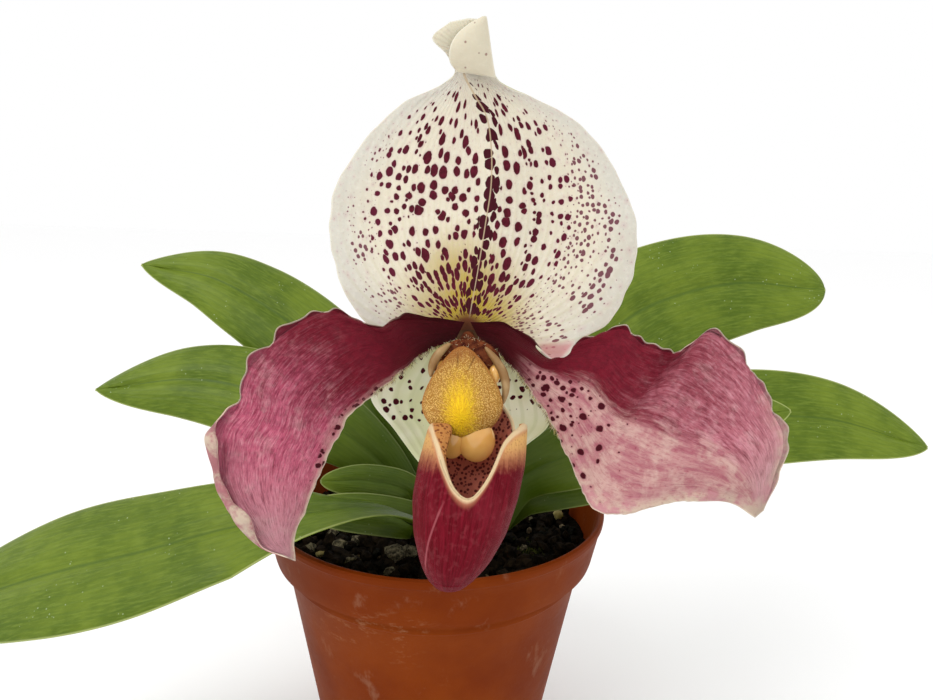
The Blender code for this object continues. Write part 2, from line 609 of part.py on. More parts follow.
def build_stem(group, frame, green, bract_green):
    """The scape leans to the front from the crown, and the ovary arches on to the flower."""
    end = np.array(FLOWER_CENTRE)
    back = np.array(frame.matrix_world.col[1][:3])
    knee = np.array([8.0, -34.0, 140.0])
    foot = (*CROWN_CENTRE, CROWN_TOP + 2.0 * CLEARANCE)
    scape = smooth_through([foot, (7.9, -11.5, 106.0), (7.8, -20.0, 124.0), knee], 12)
    tube_object("scape", scape, np.full(12, SCAPE_RADIUS), group, green)
    seat = end + back * (2.3 + SEPAL_THICKNESS / 2 + CLEARANCE + 0.2)
    start = knee + unit(np.array([0.05, -0.68, 0.73])) * CLEARANCE
    ovary = smooth_through([start, (8.1, -40.5, 147.2), (8.4, -49.0, 154.8), seat + back * 4.0, seat], 14)
    swell = (1.9, OVARY_RADIUS, OVARY_RADIUS, 2.4, 3.4)
    radii = np.interp(np.linspace(0, 1, 14), (0, 0.3, 0.75, 0.9, 1.0), swell)
    tube_object("ovary", ovary, radii, group, green)
    build_bract(ovary, group, bract_green)


def build_bract(path, group, material):
    """The sheath behind the ovary's foot: an open cone that narrows to a pointed tip."""
    t = np.linspace(0.0, 1.0, 10)[:, None, None]
    spine = smooth_through(path[:9], 10)[:, None]
    along = unit(np.gradient(spine[:, 0], axis=0))[:, None]
    side = np.array([1.0, 0.0, 0.0])
    behind = unit(np.cross(along, np.broadcast_to(side, along.shape)))
    behind *= np.sign(behind[..., 1:2])
    spread = np.linspace(-1.0, 1.0, 9)[None, :, None] * math.radians(BRACT_WRAP) * (1.0 - 0.85 * t**1.5)
    reach = OVARY_RADIUS + BRACT_THICKNESS / 2 + 0.5 * CLEARANCE + 2.0 * t**2
    grid = spine + reach * (np.cos(spread) * behind + np.sin(spread) * side)
    thicken(add_object("bract", sheet_mesh("bract", grid), group, material), BRACT_THICKNESS)


def main():
    clear_scene()
    group = new_collection("paphiopedilum_orchid")
    terracotta = new_material("terracotta_plastic", (0.42, 0.13, 0.05), 0.45)
    soil = new_material("potting_mix", (0.03, 0.022, 0.016), 0.95)
    leaf_green = new_material("leaf_green", (0.08, 0.2, 0.03), 0.4)
    stem_green = new_material("stem_green", (0.16, 0.16, 0.05), 0.6)
    sepal_white = new_material("sepal_white", (0.85, 0.84, 0.74), 0.55)
    petal_rose = new_material("petal_rose", (0.4, 0.06, 0.14), 0.5)
    lip_crimson = new_material("lip_crimson", (0.35, 0.02, 0.07), 0.35)
    shield_gold = new_material("shield_gold", (0.75, 0.45, 0.08), 0.4)

    build_pot(group, terracotta)
    build_potting_mix(group, soil)
    build_crown(group, leaf_green)
    for name in LEAVES:
        build_leaf(name, group, leaf_green)

    frame = bpy.data.objects.new("flower", None)
    group.objects.link(frame)
    frame.matrix_world = (Matrix.Translation([v * MM for v in FLOWER_CENTRE])
                          @ Matrix.Rotation(math.radians(-FLOWER_TILT), 4, "X")
                          @ Matrix.Rotation(math.radians(-FLOWER_ROLL), 4, "Y"))
    bpy.context.view_layer.update()
    dorsal = sepal_grid(DORSAL_LEFT, DORSAL_MIDRIB, DORSAL_RIGHT, 26, 6, 1.5, DORSAL_LOBE)
    build_sheet("dorsal_sepal", dorsal, SEPAL_THICKNESS, group, sepal_white, frame)
    synsepal = sepal_grid(SYNSEPAL_LEFT, SYNSEPAL_MIDRIB, SYNSEPAL_RIGHT, 14, 4, 1.0)
    build_sheet("synsepal", synsepal, SEPAL_THICKNESS, group, sepal_white, frame)
    left = petal_grid(PETAL_LEFT_LOWER, PETAL_LEFT_UPPER, 28, 7, 2.5, 0.8, 6.0, LEFT_CURL, 4)
    build_sheet("petal_left", left, PETAL_THICKNESS, group, petal_rose, frame)
    right = petal_grid(PETAL_RIGHT_LOWER, PETAL_RIGHT_UPPER, 28, 8, 2.5, 0.8, 5.0, RIGHT_CURL, 2)
    build_sheet("petal_right", right, PETAL_THICKNESS, group, petal_rose, frame)
    build_lip(group, lip_crimson, frame)
    build_staminode(group, shield_gold, frame)
    build_column(group, shield_gold, frame)
    build_stem(group, frame, stem_green, leaf_green)


main()
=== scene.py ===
# %% [markdown]
# A slipper orchid in flower, in a brown plastic pot. This lesson starts from the plain solids of the plant
# and gives each of them its finished surface: finer petals, leaves and pouch, then their colours.
# %% The frame that every piece is fitted to
import math

import bmesh
import bpy
import numpy as np
from mathutils import Matrix, Vector


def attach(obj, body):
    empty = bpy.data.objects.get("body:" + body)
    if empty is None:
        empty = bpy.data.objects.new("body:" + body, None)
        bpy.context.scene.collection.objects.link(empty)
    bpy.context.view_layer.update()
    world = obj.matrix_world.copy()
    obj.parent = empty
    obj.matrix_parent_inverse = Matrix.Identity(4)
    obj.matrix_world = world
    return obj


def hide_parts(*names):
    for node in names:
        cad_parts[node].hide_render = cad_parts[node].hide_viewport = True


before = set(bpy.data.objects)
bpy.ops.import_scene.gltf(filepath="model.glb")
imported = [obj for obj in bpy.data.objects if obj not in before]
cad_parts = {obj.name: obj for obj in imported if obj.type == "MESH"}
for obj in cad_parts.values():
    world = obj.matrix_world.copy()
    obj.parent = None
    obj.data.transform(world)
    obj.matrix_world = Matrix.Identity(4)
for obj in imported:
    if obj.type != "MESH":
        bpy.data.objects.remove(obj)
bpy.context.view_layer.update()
MM = 0.001
print("solids:", len(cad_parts))

# %% [markdown]
# The photograph was taken from a little above the flower, close by. A view this near makes the flower look
# large and the pot small, so the camera's distance matters as much as its angle.
# %% Camera
IMAGE_WIDTH, IMAGE_HEIGHT = 933, 700
FOCAL_PIXELS = 700.0
SENSOR = 36.0
# The eye's place in millimetres, and where the picture's right, down and depth point in the plant's frame.
EYE = np.array([8.6, -218.2, 190.3])
VIEW_RIGHT = np.array([0.9995, 0.0062, 0.0303])
VIEW_DOWN = np.array([0.031, -0.201, -0.979])
VIEW_AHEAD = np.array([0.0, 0.9796, -0.2011])
lens = bpy.data.cameras.new("camera")
lens.sensor_width = SENSOR
lens.lens = FOCAL_PIXELS * SENSOR / IMAGE_WIDTH
lens.clip_start = 0.01
camera = bpy.data.objects.new("camera", lens)
bpy.context.scene.collection.objects.link(camera)
turn = Matrix(np.column_stack([VIEW_RIGHT, -VIEW_DOWN, -VIEW_AHEAD]).tolist()).to_4x4()
camera.matrix_world = Matrix.Translation(EYE * MM) @ turn
bpy.context.scene.camera = camera
print("lens", round(lens.lens, 2), "mm")

# %% [markdown]
# Every shape below is a sheet of points worked out by numpy. These helpers draw smooth curves through
# a few measured points, and ease a value from one level to another.
# %% Curves and easing


def unit(vectors):
    """Each vector divided by its own length."""
    return vectors / np.maximum(np.linalg.norm(vectors, axis=-1, keepdims=True), 1e-9)


def ease(low, high, value):
    """0 below low, 1 above high, and a smooth S between: 3u^2 - 2u^3 with u the share of the way."""
    u = np.clip((value - low) / (high - low), 0.0, 1.0)
    return u * u * (3.0 - 2.0 * u)


def smooth_through(points, count=600):
    """A smooth curve through the points, read at equal steps of its length.

    Each stretch is a cubic whose end slopes are those of the neighbouring points.
    """
    points = np.array(points, float)
    knots = np.concatenate(([0.0], np.cumsum(np.sqrt(np.linalg.norm(np.diff(points, axis=0), axis=1)))))
    slopes = np.gradient(points, knots, axis=0)
    fine = np.linspace(0.0, knots[-1], 60 * len(points))
    index = np.clip(np.searchsorted(knots, fine, side="right") - 1, 0, len(points) - 2)
    step = (knots[index + 1] - knots[index])[:, None]
    u = (fine - knots[index])[:, None] / step
    curve = ((2 * u**3 - 3 * u**2 + 1) * points[index] + (u**3 - 2 * u**2 + u) * step * slopes[index]
             + (3 * u**2 - 2 * u**3) * points[index + 1] + (u**3 - u**2) * step * slopes[index + 1])
    length = np.concatenate(([0.0], np.cumsum(np.linalg.norm(np.diff(curve, axis=0), axis=1))))
    wanted = np.linspace(0.0, length[-1], count)
    return np.stack([np.interp(wanted, length, curve[:, axis]) for axis in range(3)], axis=1)


def read_at(points, share):
    """The smooth curve through the points, read at shares of its length: one column of places."""
    count = 900
    dense, steps = smooth_through(points, count), np.linspace(0, 1, count)
    return np.stack([np.interp(share, steps, dense[:, axis]) for axis in range(3)], axis=1)[:, None]


def ripple(u, v, seed, low, high, count=7):
    """Uneven waves: a sum of sines with random directions and phases, between -1 and 1."""
    random = np.random.default_rng(seed)
    total = 0.0
    for _ in range(count):
        way, phase = random.uniform(0, math.pi), random.uniform(0, 2 * math.pi)
        speed = random.uniform(low, high)
        total = total + np.sin(2 * math.pi * speed * (u * math.cos(way) + v * math.sin(way)) + phase)
    return total / count


print("eased quarters:", ease(0.0, 1.0, np.linspace(0.0, 1.0, 5)))

# %% [markdown]
# A petal or a leaf is a thin closed solid. It can be made by thickening a sheet with a modifier, but here the
# two skins are worked out directly, so the blade can be full in the middle and fine at its edge. Each point
# also keeps its place on the blade, and the colours follow the veins by it.
# %% Meshes


def grid_quads(rows, columns, wrap=False):
    """Corner numbers of a grid's quads. wrap joins the last column to the first."""
    row = np.arange(rows - 1)[:, None]
    column = np.arange(columns if wrap else columns - 1)[None, :]
    after = (column + 1) % columns
    corners = [row * columns + column, row * columns + after,
               (row + 1) * columns + after, (row + 1) * columns + column]
    return np.stack(corners, axis=-1).reshape(-1, 4)


def add_piece(name, points, quads=(), triangles=(), slot=None, replaces=(), flat=False, **attributes):
    """A mesh object from points in millimetres and corner numbers, riding on the plant's one body.

    Each further array becomes an attribute that holds three numbers for each point.
    """
    mesh = bpy.data.meshes.new(name)
    quads = np.asarray(quads, np.int32).reshape(-1, 4)
    triangles = np.asarray(triangles, np.int32).reshape(-1, 3)
    corners = np.concatenate([quads.ravel(), triangles.ravel()])
    sizes = np.concatenate([np.full(len(quads), 4), np.full(len(triangles), 3)])
    mesh.vertices.add(len(points))
    mesh.vertices.foreach_set("co", (np.asarray(points) * MM).astype(np.float32).ravel())
    mesh.loops.add(len(corners))
    mesh.loops.foreach_set("vertex_index", corners)
    mesh.polygons.add(len(sizes))
    mesh.polygons.foreach_set("loop_start", (np.cumsum(sizes) - sizes).astype(np.int32))
    mesh.update(calc_edges=True)
    for key, values in attributes.items():
        layer = mesh.attributes.new(key, "FLOAT_VECTOR", "POINT")
        layer.data.foreach_set("vector", np.ascontiguousarray(values, np.float32).ravel())
    work = bmesh.new()
    work.from_mesh(mesh)
    bmesh.ops.recalc_face_normals(work, faces=work.faces)
    work.to_mesh(mesh)
    work.free()
    mesh.polygons.foreach_set("use_smooth", np.full(len(mesh.polygons), not flat))
    piece = bpy.data.objects.new(name, mesh)
    bpy.context.scene.collection.objects.link(piece)
    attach(piece, "root")
    if replaces:
        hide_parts(*replaces)
    print(name, len(quads) * 2 + len(triangles), "triangles")
    return piece


def lengths(grid, axis):
    """Distance along the rows or the columns of a sheet, measured from its first point."""
    steps = np.linalg.norm(np.diff(grid, axis=axis), axis=-1)
    start = np.zeros_like(np.take(steps, [0], axis=axis))
    return np.concatenate([start, np.cumsum(steps, axis=axis)], axis=axis)


def add_blade(name, grid, s, t, thickness, edge, toward, taper=2.0, to_world=None, **options):
    """A closed blade round a sheet of points, with its upper skin on the side named by toward.

    Each skin lies half the thickness from the sheet along its normal. The thickness eases
    from edge at the margin to its full value over the taper width. Two attributes go with it:
    place holds s across, t along and 1 or -1 for the upper or lower skin, and span holds the
    distances from the midrib, from the base and from the nearest margin, in millimetres.
    """
    rows, columns, _ = grid.shape
    normal = unit(np.cross(np.gradient(grid, axis=1), np.gradient(grid, axis=0)))
    normal *= 1.0 if np.sum(normal * toward) > 0 else -1.0
    over, down = lengths(grid, 1), lengths(grid, 0)
    margin = np.minimum(np.minimum(over, over[:, -1:] - over), np.minimum(down, down[-1:] - down))
    half = ((edge + (thickness - edge) * ease(0.0, taper, margin)) / 2)[..., None]
    points = np.concatenate([(grid + normal * half).reshape(-1, 3), (grid - normal * half).reshape(-1, 3)])
    if to_world is not None:
        points = points @ to_world[:3, :3].T + to_world[:3, 3]
    count = rows * columns
    number = np.arange(count).reshape(rows, columns)
    loop = np.concatenate([number[0, :-1], number[:-1, -1], number[-1, :0:-1], number[:0:-1, 0]])
    follow = np.roll(loop, -1)
    rim = np.stack([loop, follow, follow + count, loop + count], axis=1)
    quads = grid_quads(rows, columns)
    quads = np.concatenate([quads, quads[:, ::-1] + count, rim])
    s, t = np.broadcast_to(s, (rows, columns)).ravel(), np.broadcast_to(t, (rows, columns)).ravel()
    one = np.ones(count)
    middle = over[:, [columns // 2]]
    place = np.concatenate([np.stack([s, t, one], 1), np.stack([s, t, -one], 1)])
    span = np.stack([(over - middle).ravel(), down.ravel(), margin.ravel()], 1)
    return add_piece(name, points, quads, place=place, span=np.concatenate([span, span]), **options)


# %% [markdown]
# Colours are worked out in the material itself. Nodes can be placed and linked by hand, but that hides the
# sums in dozens of lines. A small class wraps a node's socket, so that shader maths reads like arithmetic.
# %% Shader values


class Wire:
    """A value inside a material. Arithmetic on it adds Math nodes."""

    def __init__(self, finish, socket):
        """Holds the finish that is being made and the socket that gives the value."""
        self.finish, self.socket = finish, socket

    def math(self, operation, *others):
        """One Math node with this value first and the others after it."""
        return self.finish.node("ShaderNodeMath", dict(enumerate([self, *others])), operation=operation)

    def __add__(self, other):
        """This value plus the other."""
        return self.math("ADD", other)

    def __sub__(self, other):
        """This value less the other."""
        return self.math("SUBTRACT", other)

    def __rsub__(self, other):
        """The other, a plain number, less this value."""
        return self.finish.node("ShaderNodeMath", {0: other, 1: self}, operation="SUBTRACT")

    def __mul__(self, other):
        """This value times the other."""
        return self.math("MULTIPLY", other)

    def __truediv__(self, other):
        """This value divided by the other."""
        return self.math("DIVIDE", other)

    __radd__, __rmul__ = __add__, __mul__

    def size(self):
        """The value without its sign."""
        return self.math("ABSOLUTE")

    def most(self, other):
        """The larger of the two values."""
        return self.math("MAXIMUM", other)

    def length(self):
        """The length of a vector."""
        return self.finish.node("ShaderNodeVectorMath", {0: self}, "Value", operation="LENGTH")

    def wave(self):
        """The sine of the value."""
        return self.math("SINE")

    def ease(self, low, high):
        """0 at low and 1 at high, with a smooth S between; low may be the larger."""
        inputs = {"Value": self, "From Min": low, "From Max": high}
        return self.finish.node("ShaderNodeMapRange", inputs, interpolation_type="SMOOTHSTEP")


# %% [markdown]
# A finish is one material in the making. Each surface of the plant scatters some light under its skin, so the
# shader's softness is set with its gloss. Patterns come from noise and cells. On the plant's own place their
# scale counts waves in a metre: 55 gives patches of about 18 mm, and 900 a grain of about 1 mm.
# %% Finishes


class Finish:
    """A material being made: its Principled shader, and one method that adds any node."""

    def __init__(self, name, roughness=0.5, subsurface=0.0, radius=1.0, shine=0.3, **constants):
        """Sets the shader's own numbers. radius is how far light travels under the skin, in mm."""
        self.material = bpy.data.materials.new(name)
        self.material.use_nodes = True
        self.tree = self.material.node_tree
        self.shader = self.tree.nodes["Principled BSDF"]
        constants = {"Roughness": roughness, "Specular IOR Level": shine, "Subsurface Weight": subsurface,
                     "Subsurface Radius": (1.0, 0.6, 0.4), "Subsurface Scale": radius * MM, **constants}
        for key, value in constants.items():
            self.shader.inputs[key.replace("_", " ")].default_value = value

    def node(self, kind, inputs, output=0, **settings):
        """Adds a node of a kind: its settings come first, then a number or a wire for each input."""
        made = self.tree.nodes.new(kind)
        for key, value in settings.items():
            setattr(made, key, value)
        for key, value in inputs.items():
            if isinstance(value, Wire):
                self.tree.links.new(value.socket, made.inputs[key])
            else:
                made.inputs[key].default_value = value
        return Wire(self, made.outputs[output])

    def split(self, vector):
        """The three parts of a vector or colour."""
        parts = self.node("ShaderNodeSeparateXYZ", {0: vector})
        return [Wire(self, parts.socket.node.outputs[axis]) for axis in range(3)]

    def attribute(self, name):
        """The three numbers that a piece's mesh keeps under a name."""
        return self.split(self.node("ShaderNodeAttribute", {}, "Vector", attribute_name=name))

    def object_place(self):
        """The place on the plant, in metres."""
        return self.node("ShaderNodeTexCoord", {}, "Object")

    def vector(self, x=0.0, y=0.0, z=0.0):
        """Three numbers as one vector."""
        return self.node("ShaderNodeCombineXYZ", {0: x, 1: y, 2: z})

    def noise(self, vector, scale=1.0, detail=3.0, rough=0.5):
        """Cloudy noise about 0.5. detail and rough say how much finer noise is laid over it."""
        inputs = {"Vector": vector, "Scale": scale, "Detail": detail, "Roughness": rough}
        return self.node("ShaderNodeTexNoise", inputs)

    def cells(self, vector, scale=1.0, loose=1.0, output="Distance", flat=False):
        """Scattered points: the distance to the nearest, or its own colour. loose is their disorder."""
        inputs = {"Vector": vector, "Scale": scale, "Randomness": loose}
        return self.node("ShaderNodeTexVoronoi", inputs, output, voronoi_dimensions="2D" if flat else "3D")

    def blend(self, share, first, second):
        """first where share is 0 and second where it is 1. Each is a colour or a wire."""
        colours = [(*c, 1.0) if isinstance(c, tuple) else c for c in (first, second)]
        inputs = {0: share, 6: colours[0], 7: colours[1]}
        return self.node("ShaderNodeMix", inputs, 2, data_type="RGBA")

    def paint(self, colour, roughness=None, bump=None, depth=0.1):
        """Links the colour, and where given the roughness and a bump of that depth in millimetres."""
        self.tree.links.new(colour.socket, self.shader.inputs["Base Color"])
        if roughness is not None:
            self.tree.links.new(roughness.socket, self.shader.inputs["Roughness"])
        if bump is not None:
            normal = self.node("ShaderNodeBump", {"Height": bump, "Distance": depth * MM})
            self.tree.links.new(normal.socket, self.shader.inputs["Normal"])
        print(self.material.name, "finish of", len(self.tree.nodes), "nodes")
        return self.material


def two_tone(name, scale, span, dark, light, depth=None, detail=3.0, rough=0.5, **settings):
    """A plain finish between two colours, shared out by noise that is eased over the span.

    Where a depth is given, the same noise lifts the skin by it.
    """
    finish = Finish(name, **settings)
    cloud = finish.noise(finish.object_place(), scale, detail, rough)
    share = cloud.ease(*span) if span else cloud
    colour = finish.blend(share, dark, light)
    return finish.paint(colour, bump=cloud, depth=depth) if depth else finish.paint(colour)


def wear(piece, material):
    """Gives a piece its one material."""
    piece.data.materials.clear()
    piece.data.materials.append(material)
    return piece


# %% [markdown]
# The strap leaves arch out of the crown in a fan. On the real plant each is thick and stiff, folded a little
# along its midrib. A flat card bent by a modifier would lose that fold. Here a midrib curve carries a cross
# arc along, and the width swells from the narrow base and closes at the tip. The curves of the visible
# leaves were read from the photograph, and azimuth is the way in which each leaves the crown.
# %% Leaf shapes
CROWN_CENTRE = np.array([8.0, -10.0])
LEAF_START, LEAF_FOOT, LEAF_FREE = 7.2, 89.5, 93.5
LEAF_BASE_HALF = 4.2
LEAF_ROWS, LEAF_COLUMNS = 120, 28
LEAF_THICKNESS, LEAF_EDGE = 1.3, 0.35
TO_FRONT = np.array([0.0, -1.0, 0.0])
# bank is how far the face turns to the front, in degrees, near the base, in the middle and at the tip, arch
# is the bend across, full the share of the length where the width is whole, and half is half that width.
LEAVES = {
    "leaf_back_left": dict(
        azimuth=140, start=6.4, half=16.5, bank=(85, 60, 55), arch=24, full=0.6, point=0.8,
        points=[(-14, 3, 111), (-34, 14, 136), (-50, 18, 148), (-65, 21, 157), (-81, 23, 164),
                (-105, 25, 167)]),
    "leaf_mid_left": dict(
        azimuth=172, half=15.5, bank=(85, 58, 52), arch=26, full=0.6, point=0.8,
        points=[(-18, -7, 110), (-37, -5, 123), (-61, -4, 132), (-80, -3, 134), (-108, -5, 130)]),
    "leaf_inner_left": dict(
        azimuth=198, half=5.5, bank=(75, 55, 50), arch=10, full=0.5, point=0.55,
        points=[(-8, -19, 105), (-19, -24, 110), (-32, -30, 112)]),
    "leaf_low_left": dict(
        azimuth=219, half=6.0, bank=(60, 50, 50), arch=8, full=0.5, point=0.6,
        points=[(-6, -25.5, 98.8), (-18, -32.5, 103.8), (-37, -38, 107)]),
    "leaf_front_left": dict(
        azimuth=264, half=19.5, bank=(-45, 36, 38), arch=8, full=0.75, point=0.6,
        points=[(-1, -33, 101), (-13, -41, 109.5), (-28, -46, 111), (-53, -48, 106), (-76, -49, 99),
                (-102, -48, 91), (-142, -45, 75)]),
    "leaf_back_right": dict(
        azimuth=40, start=6.7, half=21.5, bank=(85, 66, 62), arch=10, full=0.6, point=0.5,
        points=[(38, 4, 132), (62, 14, 155), (79, 18, 163), (102, 20, 168), (130, 20, 166)]),
    "leaf_mid_right": dict(
        azimuth=14, half=16.0, bank=(85, 64, 58), arch=6, full=0.6, point=0.7,
        points=[(34, -8, 109), (59, -7, 120), (92, -5, 127), (124, -5, 128), (155, -7, 120)]),
    "leaf_low_right": dict(
        azimuth=-12, half=7.5, bank=(75, 60, 55), arch=6, full=0.5, point=0.6,
        points=[(28, -14, 103), (48, -17, 110), (68, -19, 114)]),
    "leaf_inner_right": dict(
        azimuth=-38, start=7.5, half=12.0, bank=(75, 60, 55), arch=8, full=0.6, point=0.7,
        points=[(25, -17, 108), (38, -23, 119), (60, -28, 129), (80, -31, 135), (98, -33, 138)]),
}


def leaf_grid(azimuth, points, half, bank, arch, full, point, start=LEAF_START, seed=0):
    """A strap leaf: an arc across, turned by bank, carried along its midrib.

    The half width swells from the base, is whole at full, and closes at the tip, the more
    bluntly the smaller point is. Each arc turns by arch to either side, a groove runs along
    the midrib, and the margins wave a little.
    """
    turn = math.radians(azimuth)
    outward = np.array([math.cos(turn), math.sin(turn)])
    foot = [(*(CROWN_CENTRE + start * outward), LEAF_FOOT),
            (*(CROWN_CENTRE + (start + 5.0) * outward), LEAF_FREE)]
    t = 1.0 - (1.0 - np.linspace(0.0, 1.0, LEAF_ROWS)) ** 1.5
    spine = read_at(foot + list(points), t)[:, 0]
    along = unit(np.gradient(spine, t, axis=0))
    front = unit(TO_FRONT - along * (along @ TO_FRONT)[:, None])
    upward = np.cross(along, front)
    upward *= np.sign(upward[:, 2:3])
    angle = np.radians(np.interp(t, (0.0, 0.12, 0.45, 1.0), (bank[0], *bank)))[:, None, None]
    swell = LEAF_BASE_HALF / half + (1.0 - LEAF_BASE_HALF / half) * ease(0.0, full, t) ** 0.9
    close = (1.0 - np.clip((t - 0.5) / 0.5, 0, 1) ** 2.6) ** point
    width = np.maximum(half * swell * close, 0.5)[:, None, None]
    s = np.linspace(-1.0, 1.0, LEAF_COLUMNS + 1)[None, :, None]
    bend = math.radians(arch)
    out = (np.sin(angle + bend * s) - np.sin(angle)) / bend
    down = (np.cos(angle) - np.cos(angle + bend * s)) / bend
    face = np.sin(angle) * front[:, None] + np.cos(angle) * upward[:, None]
    column = t[:, None, None]
    groove = ease(0.05, 0.3, column) * ease(1.0, 0.93, column)
    rib = -0.075 * half * np.exp(-(s / 0.16) ** 2) * groove
    waves = ripple(s[..., 0] * 0.35, t[:, None] * 2.2, seed, 0.5, 1.6)[..., None]
    sway = 0.035 * half * waves * ease(0.1, 0.4, column)
    sheet = spine[:, None] + width * (out * front[:, None] - down * upward[:, None])
    return sheet + face * (rib + sway * np.abs(s)), s[..., 0], t[:, None], face


print(len(LEAVES), "leaves, up to", 2 * max(shape["half"] for shape in LEAVES.values()), "mm wide")

# %% [markdown]
# Leaf green is never one green. The upper side is satin, with fine lengthwise veins, a darker groove, faint
# mottling and tiny pale specks, and a thin pale margin. The underside is lighter. A pattern on the plant's
# place would cut across the veins, so they follow the leaf's own across and along values.
# %% Leaf finish
CROWN_SHADE = (0.062, 0.024)
leaf = Finish("leaf_green", roughness=0.42, subsurface=0.05, radius=1.5, shine=0.2)
s, t, side = leaf.attribute("place")
x, y, edge = leaf.attribute("span")
place = leaf.object_place()
# Mottling, fine lengthwise noise and veins make the green, then the groove and the specks lie on it.
mottle = leaf.noise(place, 55.0, 4.0, 0.6)
fine = leaf.noise(leaf.vector(x * 1.6, y * 0.22, s), 1.0, 4.0, 0.6)
veins = (s * 46.0).wave() * 0.5 + 0.5
green = leaf.blend(mottle.ease(0.35, 0.68), (0.075, 0.125, 0.004), (0.14, 0.2, 0.012))
green = leaf.blend(fine.ease(0.4, 0.75) * 0.55, green, (0.18, 0.25, 0.028))
green = leaf.blend(veins.ease(0.7, 1.0) * 0.16, green, (0.055, 0.11, 0.012))
groove = s.size().ease(0.05, 0.0)
green = leaf.blend(groove * 0.6, green, (0.05, 0.1, 0.01))
specks = leaf.cells(place, 650.0, 1.0).ease(0.16, 0.1)
rare = leaf.noise(place, 130.0, 1.0).ease(0.56, 0.64)
green = leaf.blend(specks * rare * 0.55, green, (0.42, 0.5, 0.3))
# The margin is pale, and side tells the upper skin from the lighter underside.
margin = edge.ease(0.55, 0.1)
green = leaf.blend(margin * 0.8, green, (0.42, 0.48, 0.16))
pale = leaf.blend(fine.ease(0.35, 0.75), (0.18, 0.27, 0.02), (0.26, 0.34, 0.045))
green = leaf.blend(side.ease(0.2, -0.2), green, pale)
# %% [markdown]
# Little light reaches the leaves' bases among the others, so their green is darkened there with painted
# shade. A second painted shade is laid round the crown, so that the flower stands against it as it does in
# the photograph.
# %% Painted shade at the leaf bases
# Painted shade: the green darkens towards each leaf's base, and again round the crown.
deep = t.ease(0.42, 0.08)
green = leaf.blend(deep * 0.8, green, (0.022, 0.045, 0.001))
x, y = leaf.split(place)[:2]
painted_crown_shade = leaf.vector(x - CROWN_CENTRE[0] * MM, y - CROWN_CENTRE[1] * MM).length().ease(*CROWN_SHADE)
green = leaf.blend(painted_crown_shade * 0.7, green, (0.028, 0.052, 0.001))
leaf_green = leaf.paint(green, mottle * 0.22 + 0.3, fine * 0.5 + veins * 0.12 + mottle * 0.3, 0.25)
for number, (name, shape) in enumerate(LEAVES.items()):
    grid, s, t, face = leaf_grid(seed=number + 3, **shape)
    piece = add_blade("fine_" + name, grid, s, t, LEAF_THICKNESS, LEAF_EDGE, face, taper=3.0,
                      slot="leaf_green", replaces=[name])
    wear(piece, leaf_green)

# %% [markdown]
# The flower is built in a frame of its own: right, back and up from the point where its parts meet. It looks
# a little upwards and leans slightly, as it does on its arching stem.
# %% Flower frame
FLOWER_CENTRE = (8.6, -62.7, 162.3)
FLOWER_TILT, FLOWER_ROLL = 11.6, 1.8
frame_turn = (Matrix.Translation(FLOWER_CENTRE) @ Matrix.Rotation(math.radians(-FLOWER_TILT), 4, "X")
              @ Matrix.Rotation(math.radians(-FLOWER_ROLL), 4, "Y"))
FLOWER = np.array(frame_turn)
print("flower's middle at", FLOWER_CENTRE, "mm")


def flower_points(points):
    """Points of the flower's own frame, moved to the plant."""
    return np.asarray(points) @ FLOWER[:3, :3].T + FLOWER[:3, 3]


# %% [markdown]
# The tall sepal behind the flower and the smaller one below it are each ruled by three curves: two margins
# and the midrib. A subdivided cage could be pulled to their outline, but its margins would be guesses. Here
# straight lines from midrib to margin carry the sheet, and each half bows a little.
# %% Sepals
DORSAL_LEFT = [(-2.6, 2.0, 0.6), (-10.5, 1.2, 1.5), (-20, 0.5, 0.5), (-27, 2, 7.5), (-31.5, 4, 20.5),
               (-31, 4, 32), (-25, 3, 42.5), (-15, 0, 51.5), (-6, -3.5, 54.5), (-2.6, -7, 56.1),
               (-4.3, -9, 59), (-7.3, -11, 61.7), (-3.5, -13, 64.1)]
DORSAL_RIGHT = [(2.6, 2.0, 0.6), (10, 1, 0.5), (14.5, -0.7, -2.0), (17.2, -1.2, -5.0), (20, -1.2, -7),
                (22.8, -1.2, -4.4), (26, -0.5, -1.2), (31.5, 0, 2.0), (37.5, 3.5, 11), (39.5, 4.5, 23),
                (35.5, 4, 35.5), (26.5, 2, 47), (15.5, -1, 52.5), (8.5, -4.5, 54), (6.3, -7, 55),
                (4.8, -11, 59.2), (3.7, -13.5, 64.4)]
DORSAL_MIDRIB = [(0, 2.0, 0.8), (2.2, 0.6, 12.6), (4.2, -0.6, 24.8), (5.4, -1.4, 33.2), (5.3, -3.0, 41.9),
                 (4.2, -5.0, 47.4), (1.6, -6.6, 51.4), (-0.6, -8.2, 55.6), (0, -11.6, 60.5),
                 (0.2, -13.6, 64.6)]
DORSAL_LOBE = (6.8, 0.185, 0.06)
SYNSEPAL_LEFT = [(-2.2, 2.2, -2.2), (-9, 3.2, 0.5), (-18, 4.0, -6), (-22.5, 5, -14.5), (-17, 6, -22.5),
                 (-11, 6, -30.5), (-2, 5, -40)]
SYNSEPAL_RIGHT = [(2.2, 2.2, -2.2), (7.5, 3.2, 0.8), (15, 4.6, -6.5), (19.5, 6, -20.5), (13, 6, -27),
                  (6, 6, -36), (2, 5, -40)]
SYNSEPAL_MIDRIB = [(0, 2.2, -2.2), (0, 4.5, -12), (0, 6.5, -24), (0, 6.5, -33), (0, 5, -40.3)]


